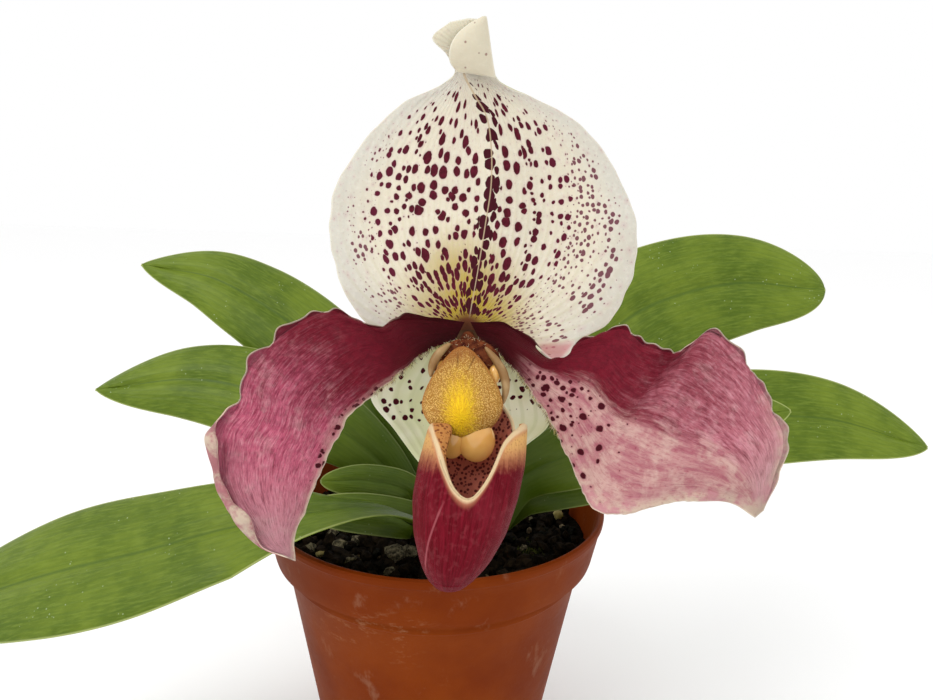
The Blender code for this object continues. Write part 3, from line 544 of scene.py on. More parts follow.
def sepal_grid(left, midrib, right, rows, columns, keel, lobe=(0.0, 0.5, 0.1), wave=0.0):
    """A sepal ruled from its midrib to its margins, bowed to the back by keel in each half.

    lobe brings a stretch of the right margin forward: how far, where, and how wide. wave
    ruffles the margin forwards and back, and a little outwards.
    """
    share = np.linspace(0.0, 1.0, rows) ** 1.35
    first, middle, last = (read_at(curve, share) for curve in (left, midrib, right))
    t = share[:, None, None]
    s = np.linspace(-1.0, 1.0, 2 * columns + 1)[None, :, None]
    bow = keel * np.sin(math.pi * np.abs(s)) * ease(0, 0.2, t) * ease(1, 0.7, t)
    forward = lobe[0] * np.exp(-((t - lobe[1]) / lobe[2]) ** 2) * ease(0.82, 0.97, s)
    ruffle = wave * ripple(s * 0.6, t * 3.0, 5, 1.5, 4.0) * s**4 * ease(0.05, 0.3, t) * ease(1.0, 0.85, t)
    sheet = middle + (np.where(s < 0, first, last) - middle) * np.abs(s)
    sheet = sheet + np.array([0.0, 1.0, 0.0]) * (bow - forward + ruffle)
    fringe = ripple(s, t * 9.0, 6, 1.0, 3.0) * s**8 * ease(0.1, 0.3, t) * ease(0.9, 0.8, t)
    sheet[..., 0:1] *= 1.0 + 0.6 * wave * fringe / 30.0
    return sheet, s[..., 0], t[..., 0]


print("tall sepal's midrib", round(float(lengths(smooth_through(DORSAL_MIDRIB), 0)[-1]), 1), "mm")

# %% [markdown]
# The tall sepal is cream, with maroon spots that stand in rows along the veins. Spots from plain cells would
# lie anywhere. Cells laid over the blade's vein and along values give rows by themselves, because the veins
# draw together at the base and the tip.
# %% Spots in rows


def spotted(finish, s, along, rows, step, radius, loose=0.75, wobble=0.25):
    """A mask of spots in rows and a wider one of their halos.

    Cells are one row wide and step long, and each holds a spot: the part nearer to the cell's
    point than the radius, which changes by a lot of its own. Noise bends the rows by wobble.
    """
    bend = finish.noise(finish.vector(s * rows * 0.5, along / step * 0.5), 1.0, 2.0)
    rough = finish.noise(finish.vector(s * rows, along / step, 5.0), 2.2, 2.0)
    where = finish.vector(s * rows + (bend - 0.5) * wobble * 2.0 + (rough - 0.5) * 0.22,
                          along / step + (bend - 0.5) * wobble - (rough - 0.5) * 0.22)
    lot = finish.split(finish.cells(where, 1.0, loose, "Color", flat=True))[0]
    reach = finish.cells(where, 1.0, loose, flat=True)
    size = radius * (lot * 0.75 + 0.5)
    return (reach - size).ease(0.035, -0.03), (reach - size).ease(0.2, -0.02)


def front_places(grid):
    """For each point, its place across and up as seen from the front, in millimetres."""
    flat = np.stack([grid[..., 0], grid[..., 2], 0 * grid[..., 0]], axis=-1).reshape(-1, 3)
    return np.concatenate([flat, flat])


def vein_places(grid, base, tip):
    """For each point, its vein and its place along it, on arcs that run from the base to the tip.

    The vein is half a turn less the angle under which the two ends are seen. The place is the
    logarithm of the two distances' ratio, drawn out near the ends so that the spots there are long.
    """
    to_base, to_tip = grid[..., [0, 2]] - base, grid[..., [0, 2]] - tip
    near, far = np.linalg.norm(to_base, axis=-1), np.linalg.norm(to_tip, axis=-1)
    cross = to_base[..., 0] * to_tip[..., 1] - to_base[..., 1] * to_tip[..., 0]
    dot = np.sum(to_base * to_tip, axis=-1)
    vein = np.sign(cross) * (math.pi - np.abs(np.arctan2(np.abs(cross), dot)))
    ratio = np.log(np.maximum(near, 0.3) / np.maximum(far, 0.3))
    along = np.sign(ratio) * np.log1p(0.9 * np.abs(ratio)) / 0.9
    return np.stack([vein, along, near], axis=-1).reshape(-1, 3)


# %% [markdown]
# Under the spots the sepal is not one white: its middle is cream, its base glows yellow-green, faint veins
# run up it, and its margin is greyer. Each tone is blended over the last where a mask allows it.
# %% Cream of the tall sepal
MAROON, VIOLET_MAROON = (0.06, 0.002, 0.008), (0.1, 0.006, 0.022)
sepal = Finish("sepal_white", roughness=0.55, subsurface=0.06, radius=0.8, shine=0.12)
t, side = sepal.attribute("place")[1:]
x, y, edge = sepal.attribute("span")
vein, along, near = sepal.attribute("vein")
away = vein.size()
place = sepal.object_place()
cloud = sepal.noise(place, 60.0, 3.0)
grain = sepal.noise(place, 900.0, 3.0, 0.6)
cream = sepal.blend(edge.ease(13.0, 1.0), (0.7, 0.64, 0.5), (0.6, 0.575, 0.5))
cream = sepal.blend(cloud.ease(0.35, 0.7) * 0.4, cream, (0.58, 0.53, 0.43))
cream = sepal.blend(grain.ease(0.45, 0.75) * 0.25, cream, (0.82, 0.79, 0.7))
warm = (near + (cloud - 0.5) * 12.0 + away * 4.0).ease(27.0, 8.0)
cream = sepal.blend(warm * 0.97, cream, (0.41, 0.28, 0.01))
veins = (vein * 70.0).wave() * 0.5 + 0.5
cream = sepal.blend(veins.ease(0.6, 1.0) * near.ease(50.0, 10.0) * 0.22, cream, (0.45, 0.42, 0.2))
# %% [markdown]
# The spots are of four kinds: large ones by the midrib, smaller ones beside them, violet specks towards the
# margin, and a crowd at the base. Each kind is a layer of cells with a limit of its own, so that none
# reaches the margin. A wide soft halo round each stands for the colour that bleeds into the cream.
# %% Spots of the tall sepal
free = edge.ease(2.2, 6.0) * t.ease(0.86, 0.8)
high = near.ease(44.0, 56.0) * away.ease(0.5, 0.9)
centre = free * away.ease(1.05, 0.85) * x.size().ease(1.6, 2.6)
spots, halo = spotted(sepal, vein, along, 6.0, 0.175, centre * (near.ease(56.0, 40.0) * 0.1 + 0.24))
inner = free * away.ease(0.8, 1.0) * away.ease(1.5, 1.3) * (high * -0.25 + 0.31)
small, small_halo = spotted(sepal, vein + 3.3, along + 7.0, 9.0, 0.115, inner)
patch = sepal.noise(place, 110.0, 2.0).ease(0.36, 0.56)
outer = free * away.ease(1.25, 1.5) * patch * (high * -0.3 + 0.34)
specks, speck_halo = spotted(sepal, vein + 9.1, along + 3.0, 20.0, 0.052, outer)
dense = near.ease(21.0, 13.0) * near.ease(2.0, 4.0) * away.ease(1.3, 1.0)
low_spots = spotted(sepal, vein + 6.0, along + 11.0, 6.5, 0.17, dense * 0.32)[0]
halos = (halo * 0.35).most(small_halo * 0.3).most(speck_halo * 0.2)
colour = sepal.blend(halos, cream, (0.52, 0.3, 0.33))
colour = sepal.blend(specks * 0.9, colour, (0.12, 0.01, 0.035))
colour = sepal.blend(small, colour, sepal.blend(away.ease(0.8, 1.4), MAROON, VIOLET_MAROON))
grained = sepal.blend(grain.ease(0.35, 0.65), MAROON, (0.1, 0.004, 0.016))
colour = sepal.blend(spots.most(low_spots), colour, grained)
# %% [markdown]
# A broken dark line follows the midrib, a rosy tint is painted on the right lobe that bends forward, where
# the red petal behind shows through the thin sepal, and the tip is plain ivory with a few dots. Masks made of
# the distances to midrib, base and margin place each of them.
# %% Midrib, lobe, tip and back of the tall sepal
stripe_size = x.size().ease(2.6, 1.4) * near.ease(1.5, 5.0) * near.ease(55.0, 45.0) * 0.52
stripe = spotted(sepal, (x + 40.0) / 2.4, y, 1.0, 3.0, stripe_size, 0.85, 0.5)[0]
colour = sepal.blend(stripe, colour, (0.05, 0.002, 0.008))
colour = sepal.blend(x.size().ease(0.18, 0.08) * t.ease(0.93, 0.86) * 0.8, colour, (0.5, 0.38, 0.24))
across, up = sepal.attribute("front")[:2]
# Painted show-through: a rosy tint on the lobe stands for the red petal behind, seen through the thin sepal.
lobe = across.ease(15.0, 17.5) * (up + (cloud - 0.5) * 3.0).ease(-1.4, -3.4) * edge.ease(0.5, 1.6)
colour = sepal.blend(lobe * 0.7, colour, (0.46, 0.14, 0.16))
colour = sepal.blend(t.ease(0.86, 0.96) * 0.5, colour, (0.74, 0.67, 0.46))
few = sepal.cells(place, 420.0, 1.0).ease(0.16, 0.1) * t.ease(0.9, 0.94)
colour = sepal.blend(few * 0.7, colour, (0.2, 0.06, 0.06))
colour = sepal.blend(edge.ease(0.45, 0.1) * near.ease(3.0, 8.0) * 0.7, colour, (0.8, 0.76, 0.64))
colour = sepal.blend(near.ease(4.5, 2.0), colour, (0.16, 0.05, 0.02))
back = sepal.blend(spots.most(small) * 0.5, (0.62, 0.6, 0.42), (0.35, 0.12, 0.15))
colour = sepal.blend(side.ease(0.2, -0.2), colour, back)
sepal_white = sepal.paint(colour, bump=veins * 0.4 + cloud + grain * 0.5 - spots * 0.25, depth=0.2)
# %% [markdown]
# The tall sepal is now cut from its curves, and the folded flap at its tip is a small sheet of its own
# between two more curves. One blade can't turn back over itself without folds crossing, so the flap lies in
# front of it. It wears the same finish, with its along value held near the tip's.
# %% Tall sepal and its folded tip
SEPAL_THICKNESS, SEPAL_EDGE = 0.7, 0.25
VEIN_BASE, VEIN_TIP = np.array([0.0, 1.0]), np.array([1.5, 57.5])
dorsal, s, t = sepal_grid(DORSAL_LEFT, DORSAL_MIDRIB, DORSAL_RIGHT, 200, 70, 1.5, DORSAL_LOBE, 0.5)
veins = vein_places(dorsal, VEIN_BASE, VEIN_TIP)
piece = add_blade("fine_dorsal_sepal", dorsal, s, t, SEPAL_THICKNESS, SEPAL_EDGE, TO_FRONT, to_world=FLOWER,
                  slot="sepal_white", replaces=["dorsal_sepal"], vein=np.concatenate([veins, veins]),
                  front=front_places(dorsal))
wear(piece, sepal_white)
FOLD_LEFT = [(-2.1, -8.4, 55.6), (-3.6, -10.2, 57.0), (-3.5, -12.2, 59.2), (-2.1, -13.4, 61.3),
             (0.6, -14.2, 63.2), (3.2, -14.2, 64.6)]
FOLD_RIGHT = [(6.2, -7.8, 54.6), (5.6, -9.6, 56.8), (5.0, -11.6, 59.4), (4.5, -13.0, 62.2),
              (4.0, -14.2, 64.7)]
FOLD_BULGE, FOLD_NEAR, FOLD_ALONG = 1.3, 64.0, 0.95
share = np.linspace(0.0, 1.0, 50)
fold_left, fold_right = read_at(FOLD_LEFT, share), read_at(FOLD_RIGHT, share)
s, t = np.linspace(0.0, 1.0, 33)[None, :, None], share[:, None, None]
bulge = np.array([0.0, FOLD_BULGE, 0.0]) * np.sin(math.pi * s) * np.sin(math.pi * t) ** 0.5
fold = fold_left + (fold_right - fold_left) * s - bulge
far_up = np.zeros((2 * fold.shape[0] * fold.shape[1], 3)) + (0.0, 0.0, FOLD_NEAR)
piece = add_blade("dorsal_tip_fold", fold, s[..., 0] * 0.4, t[..., 0] * 0.0 + FOLD_ALONG,
                  SEPAL_THICKNESS, 0.2, TO_FRONT, to_world=FLOWER, slot="sepal_white", vein=far_up)
wear(piece, sepal_white)
# %% [markdown]
# The lower sepal shows only as pale green patches beside the pouch, with a few spots at its lower left. It is
# made like the tall one, with fewer rows, and its spots are kept to a slanting band.
# %% Lower sepal
synsepal, s, t = sepal_grid(SYNSEPAL_LEFT, SYNSEPAL_MIDRIB, SYNSEPAL_RIGHT, 90, 36, 1.0)
piece = add_blade("fine_synsepal", synsepal, s, t, SEPAL_THICKNESS, SEPAL_EDGE, TO_FRONT, to_world=FLOWER,
                  slot="sepal_white", replaces=["synsepal"], front=front_places(synsepal))
lower = Finish("synsepal_pale", roughness=0.6, subsurface=0.05, radius=0.8, shine=0.08)
s = lower.attribute("place")[0]
y, edge = lower.attribute("span")[1:]
place = lower.object_place()
cloud = lower.noise(place, 90.0, 3.0)
veins = (s * 40.0).wave() * 0.5 + 0.5
pale = lower.blend(cloud.ease(0.35, 0.7), (0.66, 0.7, 0.42), (0.82, 0.84, 0.66))
pale = lower.blend(veins.ease(0.6, 1.0) * 0.3, pale, (0.5, 0.56, 0.28))
pale = lower.blend(y.ease(14.0, 3.0) * 0.6, pale, (0.5, 0.55, 0.12))
across, up = lower.attribute("front")[:2]
band = (up - across.ease(-5.0, 5.0) * 3.5).ease(-22.0, -20.0)
group = band * lower.noise(place, 300.0, 1.0).ease(0.36, 0.44)
spots = spotted(lower, across / 2.3, up, 1.0, 2.3, edge.ease(0.8, 2.0) * group * 0.27)[0]
pale = lower.blend(spots, pale, (0.05, 0.002, 0.006))
wear(piece, lower.paint(pale, bump=veins * 0.5 + cloud, depth=0.2))

# %% [markdown]
# The two petals spread sideways and hang, with ruffled upper edges that roll forward near their tips. They
# could be sculpted, but their outline would drift. Each is ruled between its lower and upper margins, pushed
# forward in its middle, and past its upper margin the sheet goes on along an arc.
# %% Petals
PETAL_LEFT_UPPER = [(-0.7, -0.6, 2.2), (-8, -2.6, 2.9), (-15.5, -4.6, 3.2), (-19.5, -6.6, 0.7),
                    (-24, -7.6, 3), (-29, -8.6, 4.5), (-35, -10.6, 2), (-41, -13, -3), (-45, -15, -9),
                    (-46, -17, -15), (-48.8, -18.5, -20), (-48.3, -20.5, -29), (-43.6, -21.5, -37),
                    (-39, -22, -42), (-34.5, -21.6, -44.5)]
PETAL_LEFT_LOWER = [(-2.6, -0.6, -1.4), (-9.5, -3, -4.5), (-14.5, -6, -9), (-21, -8, -14),
                    (-26, -10, -19.5), (-30.5, -12, -29), (-33, -15, -36.5), (-34.4, -18.5, -41),
                    (-33.5, -21.4, -45)]
PETAL_RIGHT_UPPER = [(0.9, -0.6, 2.2), (8.5, -2.4, 1.4), (14, -3.4, -2.2), (19, -4.4, -5.2),
                     (23, -5.2, -4.0), (27, -7, -1), (33.5, -9, 0.5), (38.5, -10, -3.5), (44, -10.6, -4.5),
                     (50, -13, 0), (55, -14, -4), (61, -15, -13), (63.5, -16, -22), (61.5, -16.6, -31),
                     (58.8, -18.6, -36)]
PETAL_RIGHT_LOWER = [(2.8, -0.6, -1.4), (7.5, -3, -5), (13.5, -7, -12.5), (17.5, -9, -18.5),
                     (20.5, -11, -25), (23, -13, -31), (25, -14, -35.8), (29, -15, -37.3), (35, -16, -36.5),
                     (41, -17, -34.7), (46.5, -18, -34), (53, -18, -34.6), (57.2, -18.8, -37.2)]
LEFT_CURL = (0.4, 5.0, 160.0, 0.6, 1.0)
RIGHT_CURL = (0.4, 1.6, 60.0, 0.8, 1.0)
PETAL_ROWS, PETAL_COLUMNS, CURL_COLUMNS = 220, 56, 14


def petal_grid(lower, upper, ruffle, waves, curl, seed):
    """A petal ruled between its margins, its middle pushed forward and its upper edge ruffled.

    Past the upper margin a strip goes on along an arc. curl gives the strip's least and
    greatest length, its greatest turn in degrees, and where along the petal it starts and ends.
    """
    t = np.linspace(0.0, 1.0, PETAL_ROWS)[:, None, None]
    low, high = smooth_through(lower, PETAL_ROWS)[:, None], smooth_through(upper, PETAL_ROWS)[:, None]
    across = unit(high - low)
    along = unit(np.gradient(((low + high) / 2)[:, 0], axis=0))[:, None]
    front = unit(np.cross(across, along))
    front *= -np.sign(front[..., 1:2])
    s = np.linspace(0.0, 1.0, PETAL_COLUMNS + 1)[None, :, None]
    taper = ease(0.0, 0.25, t) * ease(1.0, 0.8, t)
    wave = np.sin(2 * math.pi * waves * t) + 0.5 * np.sin(2 * math.pi * 1.7 * waves * t + 1.0)
    crimp = ripple(s * 0.5, t * 1.0, seed, 9.0, 17.0) * s**10 + 0.5 * ripple(s * 0.6, t, seed + 1, 2.0, 6.0)
    lift = 2.5 * np.sin(math.pi * s) * taper + ruffle * wave * s**4 * taper + 1.5 * crimp * taper
    blade = low + (high - low) * s + front * lift
    notches = 0.9 * ripple(0 * t, t, seed + 7, 8.0, 18.0, 9) + 0.25 * ripple(0 * t, t, seed + 8, 30.0, 50.0)
    blade = blade + across * taper * (1 - s) ** 6 * notches
    least, greatest, degrees, begin, end = curl
    share = ease(begin, begin + 0.12, t) * ease(end, end - 0.1, t)
    length = least * ease(0.0, 0.1, t) * ease(1.0, 0.9, t) + (greatest - least) * share + 0.3
    uneven = 2.2 * ripple(0 * t, t, seed + 5, 9.0, 20.0, 9) + 0.9 * ripple(0 * t, t, seed + 2, 16.0, 34.0, 9)
    length = length * (1.0 + 0.25 * wave * share) + uneven * taper
    turn = math.radians(degrees) * share + 0.01
    q = np.linspace(0.0, 1.0, CURL_COLUMNS + 1)[None, 1:, None]
    strip = blade[:, -1:] + (across * np.sin(turn * q) + front * (1.0 - np.cos(turn * q))) * length / turn
    where = np.concatenate([s[0, :, 0], 1.0 + q[0, :, 0]])[None]
    return np.concatenate([blade, strip], axis=1), where, t[..., 0]


for name, margin in (("left", PETAL_LEFT_UPPER), ("right", PETAL_RIGHT_UPPER)):
    print(name, "petal's upper margin", round(float(lengths(smooth_through(margin), 0)[-1]), 1), "mm")

# %% [markdown]
# Crimson runs out along the petals' veins from a nearly black base and fades to rose. The left petal is
# coloured all over, with a spotted cream strip by its lower edge. On the right one the colour keeps to
# the upper half, and the lower half is pale with maroon spots. Painted streaks would have to be drawn one by
# one. Noise stretched along the petal gives them all, and one function with a few choices serves both petals.
# %% Petal finish


def petal_finish(name, split, fade, cream_reach, spot_size, spot_end, rosy, tip, paleness):
    """Streaks of crimson that fade to rose, over a pale part with spots.

    split gives the share across below which the petal is pale, at its base and at its tip,
    fade gives where along it the crimson starts and ends its turn to rose, spot_end where the
    large spots die out, rosy and tip the colours that it turns to, and paleness how far the
    lower part turns pale.
    """
    finish = Finish(name, roughness=0.5, subsurface=0.08, radius=1.0, shine=0.1)
    s, t, side = finish.attribute("place")
    edge = finish.attribute("span")[2]
    across, up = finish.attribute("front")[:2]
    place = finish.object_place()
    streak = finish.noise(finish.vector(s * 26.0, t * 8.0), 1.0, 5.0, 0.7)
    fine = finish.noise(finish.vector(s * 75.0, t * 30.0, 2.0), 1.0, 4.0, 0.7)
    broad = finish.noise(finish.vector(s * 6.0, t * 3.0, 4.0), 1.0, 3.0)
    grain = finish.noise(place, 800.0, 3.0, 0.6)
    blotch = finish.noise(place, 230.0, 4.0, 0.65)
    # Nearly black at the base, crimson, then rose and the tip's colour, with light and dark streaks.
    light = t.ease(fade[0] - 0.1, fade[1])
    rose = finish.blend(t.ease(0.05, 0.35), (0.045, 0.001, 0.002), (0.17, 0.006, 0.018))
    rose = finish.blend((t + (broad - 0.5) * 0.2).ease(*fade), rose, rosy)
    rose = finish.blend(t.ease(fade[1] - 0.05, 1.0), rose, tip)
    rose = finish.blend(blotch.ease(0.5, 0.68) * light * 0.35, rose, (0.7, 0.45, 0.44))
    rose = finish.blend(fine.ease(0.48, 0.68) * light * 0.45, rose, (0.78, 0.42, 0.47))
    rose = finish.blend(fine.ease(0.5, 0.34) * 0.5, rose, (0.1, 0.003, 0.012))
    rose = finish.blend(streak.ease(0.46, 0.32) * 0.5, rose, (0.14, 0.005, 0.018))
    rose = finish.blend(streak.ease(0.5, 0.66) * light * 0.4, rose, (0.68, 0.28, 0.34))
    rose = finish.blend(grain.ease(0.4, 0.62) * t.ease(1.0, 0.4) * 0.35, rose, (0.07, 0.002, 0.008))
    # The pale part lies below an uneven limit, and starts some way out from the base.
    pale = finish.blend(streak.ease(0.35, 0.65), (0.4, 0.13, 0.16), (0.54, 0.28, 0.27))
    pale = finish.blend(blotch.ease(0.42, 0.62) * 0.6, pale, (0.66, 0.46, 0.39))
    pale = finish.blend(fine.ease(0.5, 0.36) * 0.35, pale, (0.33, 0.07, 0.1))
    limit = t * (split[1] - split[0]) + split[0] + (broad - 0.5) * 0.2 + (streak - 0.5) * 0.2
    share = (s - limit).ease(0.06, -0.06) * (t + (streak - 0.5) * 0.1).ease(0.12, 0.26)
    colour = finish.blend(share * paleness, rose, pale)
    # A blotched cream border follows the lower margin and the tip.
    cream = finish.blend(blotch.ease(0.4, 0.62), (0.62, 0.3, 0.32), (0.74, 0.62, 0.46))
    open_end = t.ease(0.3, 0.6) * (s.ease(0.5, 0.2).most(t.ease(0.72, 0.88)))
    outer = (edge + (blotch - 0.5) * cream_reach * 1.4).ease(cream_reach, 0.3) * open_end
    colour = finish.blend(outer * 0.8, colour, cream)
    # Large spots and small dots keep to the pale part, and die out along it.
    zone = (s - limit - 0.12).ease(0.05, -0.05)
    large = zone * t.ease(0.12, 0.2) * t.ease(*spot_end) * spot_size
    spots, halo = spotted(finish, across / 3.6, up, 1.0, 3.6, large)
    fine_spots = zone * t.ease(0.06, 0.14) * t.ease(spot_end[0] - 0.14, spot_end[1] - 0.15) * 0.24
    dots, dot_halo = spotted(finish, across / 1.9, up + 9.0, 1.0, 1.9, fine_spots)
    colour = finish.blend((halo * 0.4).most(dot_halo * 0.3) * share, colour, (0.38, 0.07, 0.11))
    colour = finish.blend(spots.most(dots) * share.ease(0.1, 0.6), colour, (0.06, 0.0015, 0.007))
    # Last come the fine pale margin and the blotched back.
    colour = finish.blend(edge.ease(0.42, 0.1) * t.ease(0.1, 0.3) * 0.85, colour, (0.8, 0.66, 0.52))
    under = finish.blend(blotch.ease(0.4, 0.62), (0.56, 0.22, 0.24), (0.76, 0.6, 0.46))
    under = finish.blend(t.ease(0.5, 0.1) * 0.8, under, (0.25, 0.04, 0.06))
    colour = finish.blend(side.ease(0.2, -0.2), colour, under)
    return finish.paint(colour, bump=streak + fine * 0.5 + grain * 0.4 + blotch, depth=0.6)


# %% [markdown]
# Both petals are cut from their curves with the same two functions. Their own numbers were tuned against the
# photograph: where the pale part starts, how far the crimson goes, and how broad the cream border is.
# %% Both petals
PETAL_THICKNESS, PETAL_EDGE, PETAL_RUFFLE = 0.65, 0.25, 0.8
LEFT_FINISH = dict(split=(0.02, 0.1), fade=(0.36, 0.7), cream_reach=1.3, spot_size=0.11,
                   spot_end=(0.92, 0.82), rosy=(0.56, 0.11, 0.19), tip=(0.66, 0.32, 0.36), paleness=0.6)
RIGHT_FINISH = dict(split=(0.45, 0.5), fade=(0.44, 0.8), cream_reach=5.5, spot_size=0.17,
                    spot_end=(0.62, 0.45), rosy=(0.46, 0.14, 0.18), tip=(0.64, 0.38, 0.38), paleness=1.0)
PETALS = {"left": (PETAL_LEFT_LOWER, PETAL_LEFT_UPPER, 6.0, LEFT_CURL, 21, LEFT_FINISH),
          "right": (PETAL_RIGHT_LOWER, PETAL_RIGHT_UPPER, 5.0, RIGHT_CURL, 33, RIGHT_FINISH)}
petal_sheets = {}
for name, (lower_edge, upper_edge, waves, curl, seed, finish) in PETALS.items():
    sheet, s, t = petal_grid(lower_edge, upper_edge, PETAL_RUFFLE, waves, curl, seed)
    piece = add_blade("fine_petal_" + name, sheet, s, t, PETAL_THICKNESS, PETAL_EDGE, TO_FRONT,
                      to_world=FLOWER, slot="petal_rose", replaces=["petal_" + name],
                      front=front_places(sheet))
    wear(piece, petal_finish("petal_" + name + "_rose", **finish))
    petal_sheets[name] = sheet

# %% [markdown]
# The lip is a pouch, open in front with a V-shaped dip between two ears. It could be a ball with a hole cut
# in it, but the mouth's edge is its finest line. So oval rings give its form from the rim to the toe, the
# rim's height is a curve of its own, and above it a fine pale band turns inwards in front of the ears.
# %% Lip
LIP_RINGS = np.array([
    (-4, 1.2, -3.4, 3.4, 1.2), (-10, 1.9, -5.4, 5.0, 2.4), (-19, 2.4, -12.0, 9.8, 8.0),
    (-27, 0.9, -16.0, 10.4, 10.2), (-33, -0.4, -19.5, 10.0, 10.8), (-39, -1.4, -22.0, 8.6, 10.0),
    (-44, -2.3, -23.2, 6.4, 8.0), (-46.8, -3.0, -23.8, 4.5, 5.8), (-48.5, -3.3, -24.2, 2.6, 3.4),
    (-49.3, -3.4, -24.3, 0.05, 0.05)])[::-1]
LIP_RIM = [(-180, -5.5), (-155, -9.0), (-125, -22.0), (-100, -23.0), (-82, -19.5), (-66, -20.2),
           (-49, -22.6), (-33, -26.2), (-18, -29.6), (-8, -31.0), (0, -31.6), (8, -31.2), (16, -29.3),
           (22, -27.2), (27, -24.8), (33, -22.2), (45, -20.6), (60, -19.8), (82, -19.5), (100, -23.0),
           (125, -22.0), (155, -9.0), (180, -5.5)]
LIP_COLUMNS, LIP_DEPTH_ROWS, LIP_FLAP_ROWS = 200, 110, 10


def smoothed(values, width, mode):
    """The values averaged with their neighbours. mode says what lies beyond the two ends."""
    kernel = np.hanning(width) if mode == "wrap" else np.ones(width)
    return np.convolve(np.pad(values, width // 2, mode=mode), kernel / kernel.sum(), "valid")


def lip_grid():
    """Oval rings read at a height that runs from the mouth's rim to the toe.

    The rim is lowest in front, highest at the ears, and climbs at the back to the claw.
    Above it a short flap turns inwards, longest just in front of the ears. The rings'
    numbers are height, middle to the right and to the back, half width and half depth.
    """
    turn = np.linspace(0, 2 * math.pi, LIP_COLUMNS, endpoint=False)
    away = np.degrees((turn + math.pi) % (2 * math.pi) - math.pi)
    degrees = np.arange(-180, 180)
    rim = np.interp(away, degrees, smoothed(np.interp(degrees, *zip(*LIP_RIM)), 13, "wrap"))
    depth = (np.linspace(0.0, 1.0, LIP_DEPTH_ROWS) ** 0.9)[:, None]
    z = rim[None] + (LIP_RINGS[0, 0] - rim[None]) * depth
    heights = np.linspace(LIP_RINGS[0, 0], LIP_RINGS[-1, 0], 300)
    middle_part = (heights > -47) & (heights < -6)
    read = [np.interp(heights, LIP_RINGS[:, 0], LIP_RINGS[:, k]) for k in range(1, 5)]
    read = [np.where(middle_part, smoothed(values, 17, "edge"), values) for values in read]
    right, back, wide, deep = (np.interp(z, heights, values) for values in read)
    body = np.stack([right + wide * np.sin(turn), back - deep * np.cos(turn), z], axis=2)
    inward = np.stack([-np.sin(turn), np.cos(turn), 0 * turn], axis=1)[None]
    left_ear, right_ear = np.exp(-((away + 60) / 19) ** 2), np.exp(-((away - 78) / 14) ** 2)
    reach = (0.4 + 4.4 * left_ear + 0.8 * right_ear)[None, :, None]
    q = np.linspace(1.0, 0.0, LIP_FLAP_ROWS + 1)[:-1, None, None]
    up = np.array([0.0, 0.0, 1.0])
    bend = 2.3 * q
    flap = body[:1] + reach * (inward * (1 - np.cos(bend)) * 0.5 + up * np.sin(bend) * 0.28)
    return np.concatenate([flap, body]), turn, np.concatenate([-q[:, 0, 0], depth[:, 0]])


def shell_of(grid, thickness):
    """A closed shell round a sheet that runs right round: two skins, joined at the first row.

    Each skin lies half the thickness from the sheet, less near the rim, and one more point
    closes each at the last row. It gives the points on the plant, the quads and the triangles.
    """
    rows, columns, _ = grid.shape
    over = np.roll(grid, -1, 1) - np.roll(grid, 1, 1)
    normal = unit(np.cross(over, np.gradient(grid, axis=0)))
    middle = grid.mean(axis=1, keepdims=True)
    normal *= 1.0 if np.sum(normal * (grid - middle)) > 0 else -1.0
    normal[-1] = unit(normal[-2].mean(axis=0))
    half = thickness / 2 * (0.45 + 0.55 * ease(0, 12, np.arange(rows)))[:, None, None]
    outer, inner = grid + normal * half, grid - normal * half
    count = rows * columns
    quads = grid_quads(rows, columns, wrap=True)
    first, after = np.arange(columns), (np.arange(columns) + 1) % columns
    rim = np.stack([first, after, after + count, first + count], axis=1)
    last = (rows - 1) * columns + np.stack([first, after], axis=1)
    caps = [np.column_stack([last + k * count, np.full(columns, 2 * count + k)]) for k in (0, 1)]
    ends = [outer[-1:].mean(1), inner[-1:].mean(1)]
    points = np.concatenate([outer.reshape(-1, 3), inner.reshape(-1, 3), *ends])
    return flower_points(points), np.concatenate([quads, quads[:, ::-1] + count, rim]), np.concatenate(caps)


def both_skins(*values):
    """Three numbers for each point of a sheet, repeated for a shell's two skins and its two last points."""
    rows = np.stack(np.broadcast_arrays(*values), axis=-1).reshape(-1, 3)
    return np.concatenate([rows, rows, [rows[-1], rows[-1]]])


LIP_THICKNESS = 0.9
grid, turn, depth = lip_grid()
points, quads, caps = shell_of(grid, LIP_THICKNESS)
from_rim = np.linalg.norm(grid - grid[LIP_FLAP_ROWS][None], axis=-1) * np.where(depth < 0, -1, 1)[:, None]
place = np.stack(np.broadcast_arrays(np.sin(turn), depth[:, None], 1.0), axis=-1).reshape(-1, 3)
place = np.concatenate([place, place * (1, 1, -1), [[0, 1, 1], [0, 1, -1]]])
lip_piece = add_piece("fine_lip", points, quads, caps, slot="lip_crimson", replaces=["lip"], place=place,
                      span=both_skins(from_rim, grid[..., 2], np.cos(turn)))

# %% [markdown]
# The pouch is deep crimson with fine upright streaks. Towards the ears it turns peach with tiny brown dots,
# its rim is cream, and inside it is mauve-brown with dense dark freckles. One material does it all, with
# masks made of the height, of the distance from the rim and of the side. place holds the sine of the turn,
# the share of the depth and the side, and span the distance from the rim, the height and the turn's cosine.
# %% Lip finish
pouch = Finish("lip_crimson", roughness=0.5, subsurface=0.04, radius=0.8, shine=0.06)
turn, depth, side = pouch.attribute("place")
rim, height, ahead = pouch.attribute("span")
place = pouch.object_place()
streak = pouch.noise(pouch.vector(turn * 20.0, ahead * 20.0, depth * 4.0 + side), 1.0, 5.0, 0.7)
cloud = pouch.noise(place, 120.0, 3.0)
grain = pouch.noise(place, 900.0, 2.0)
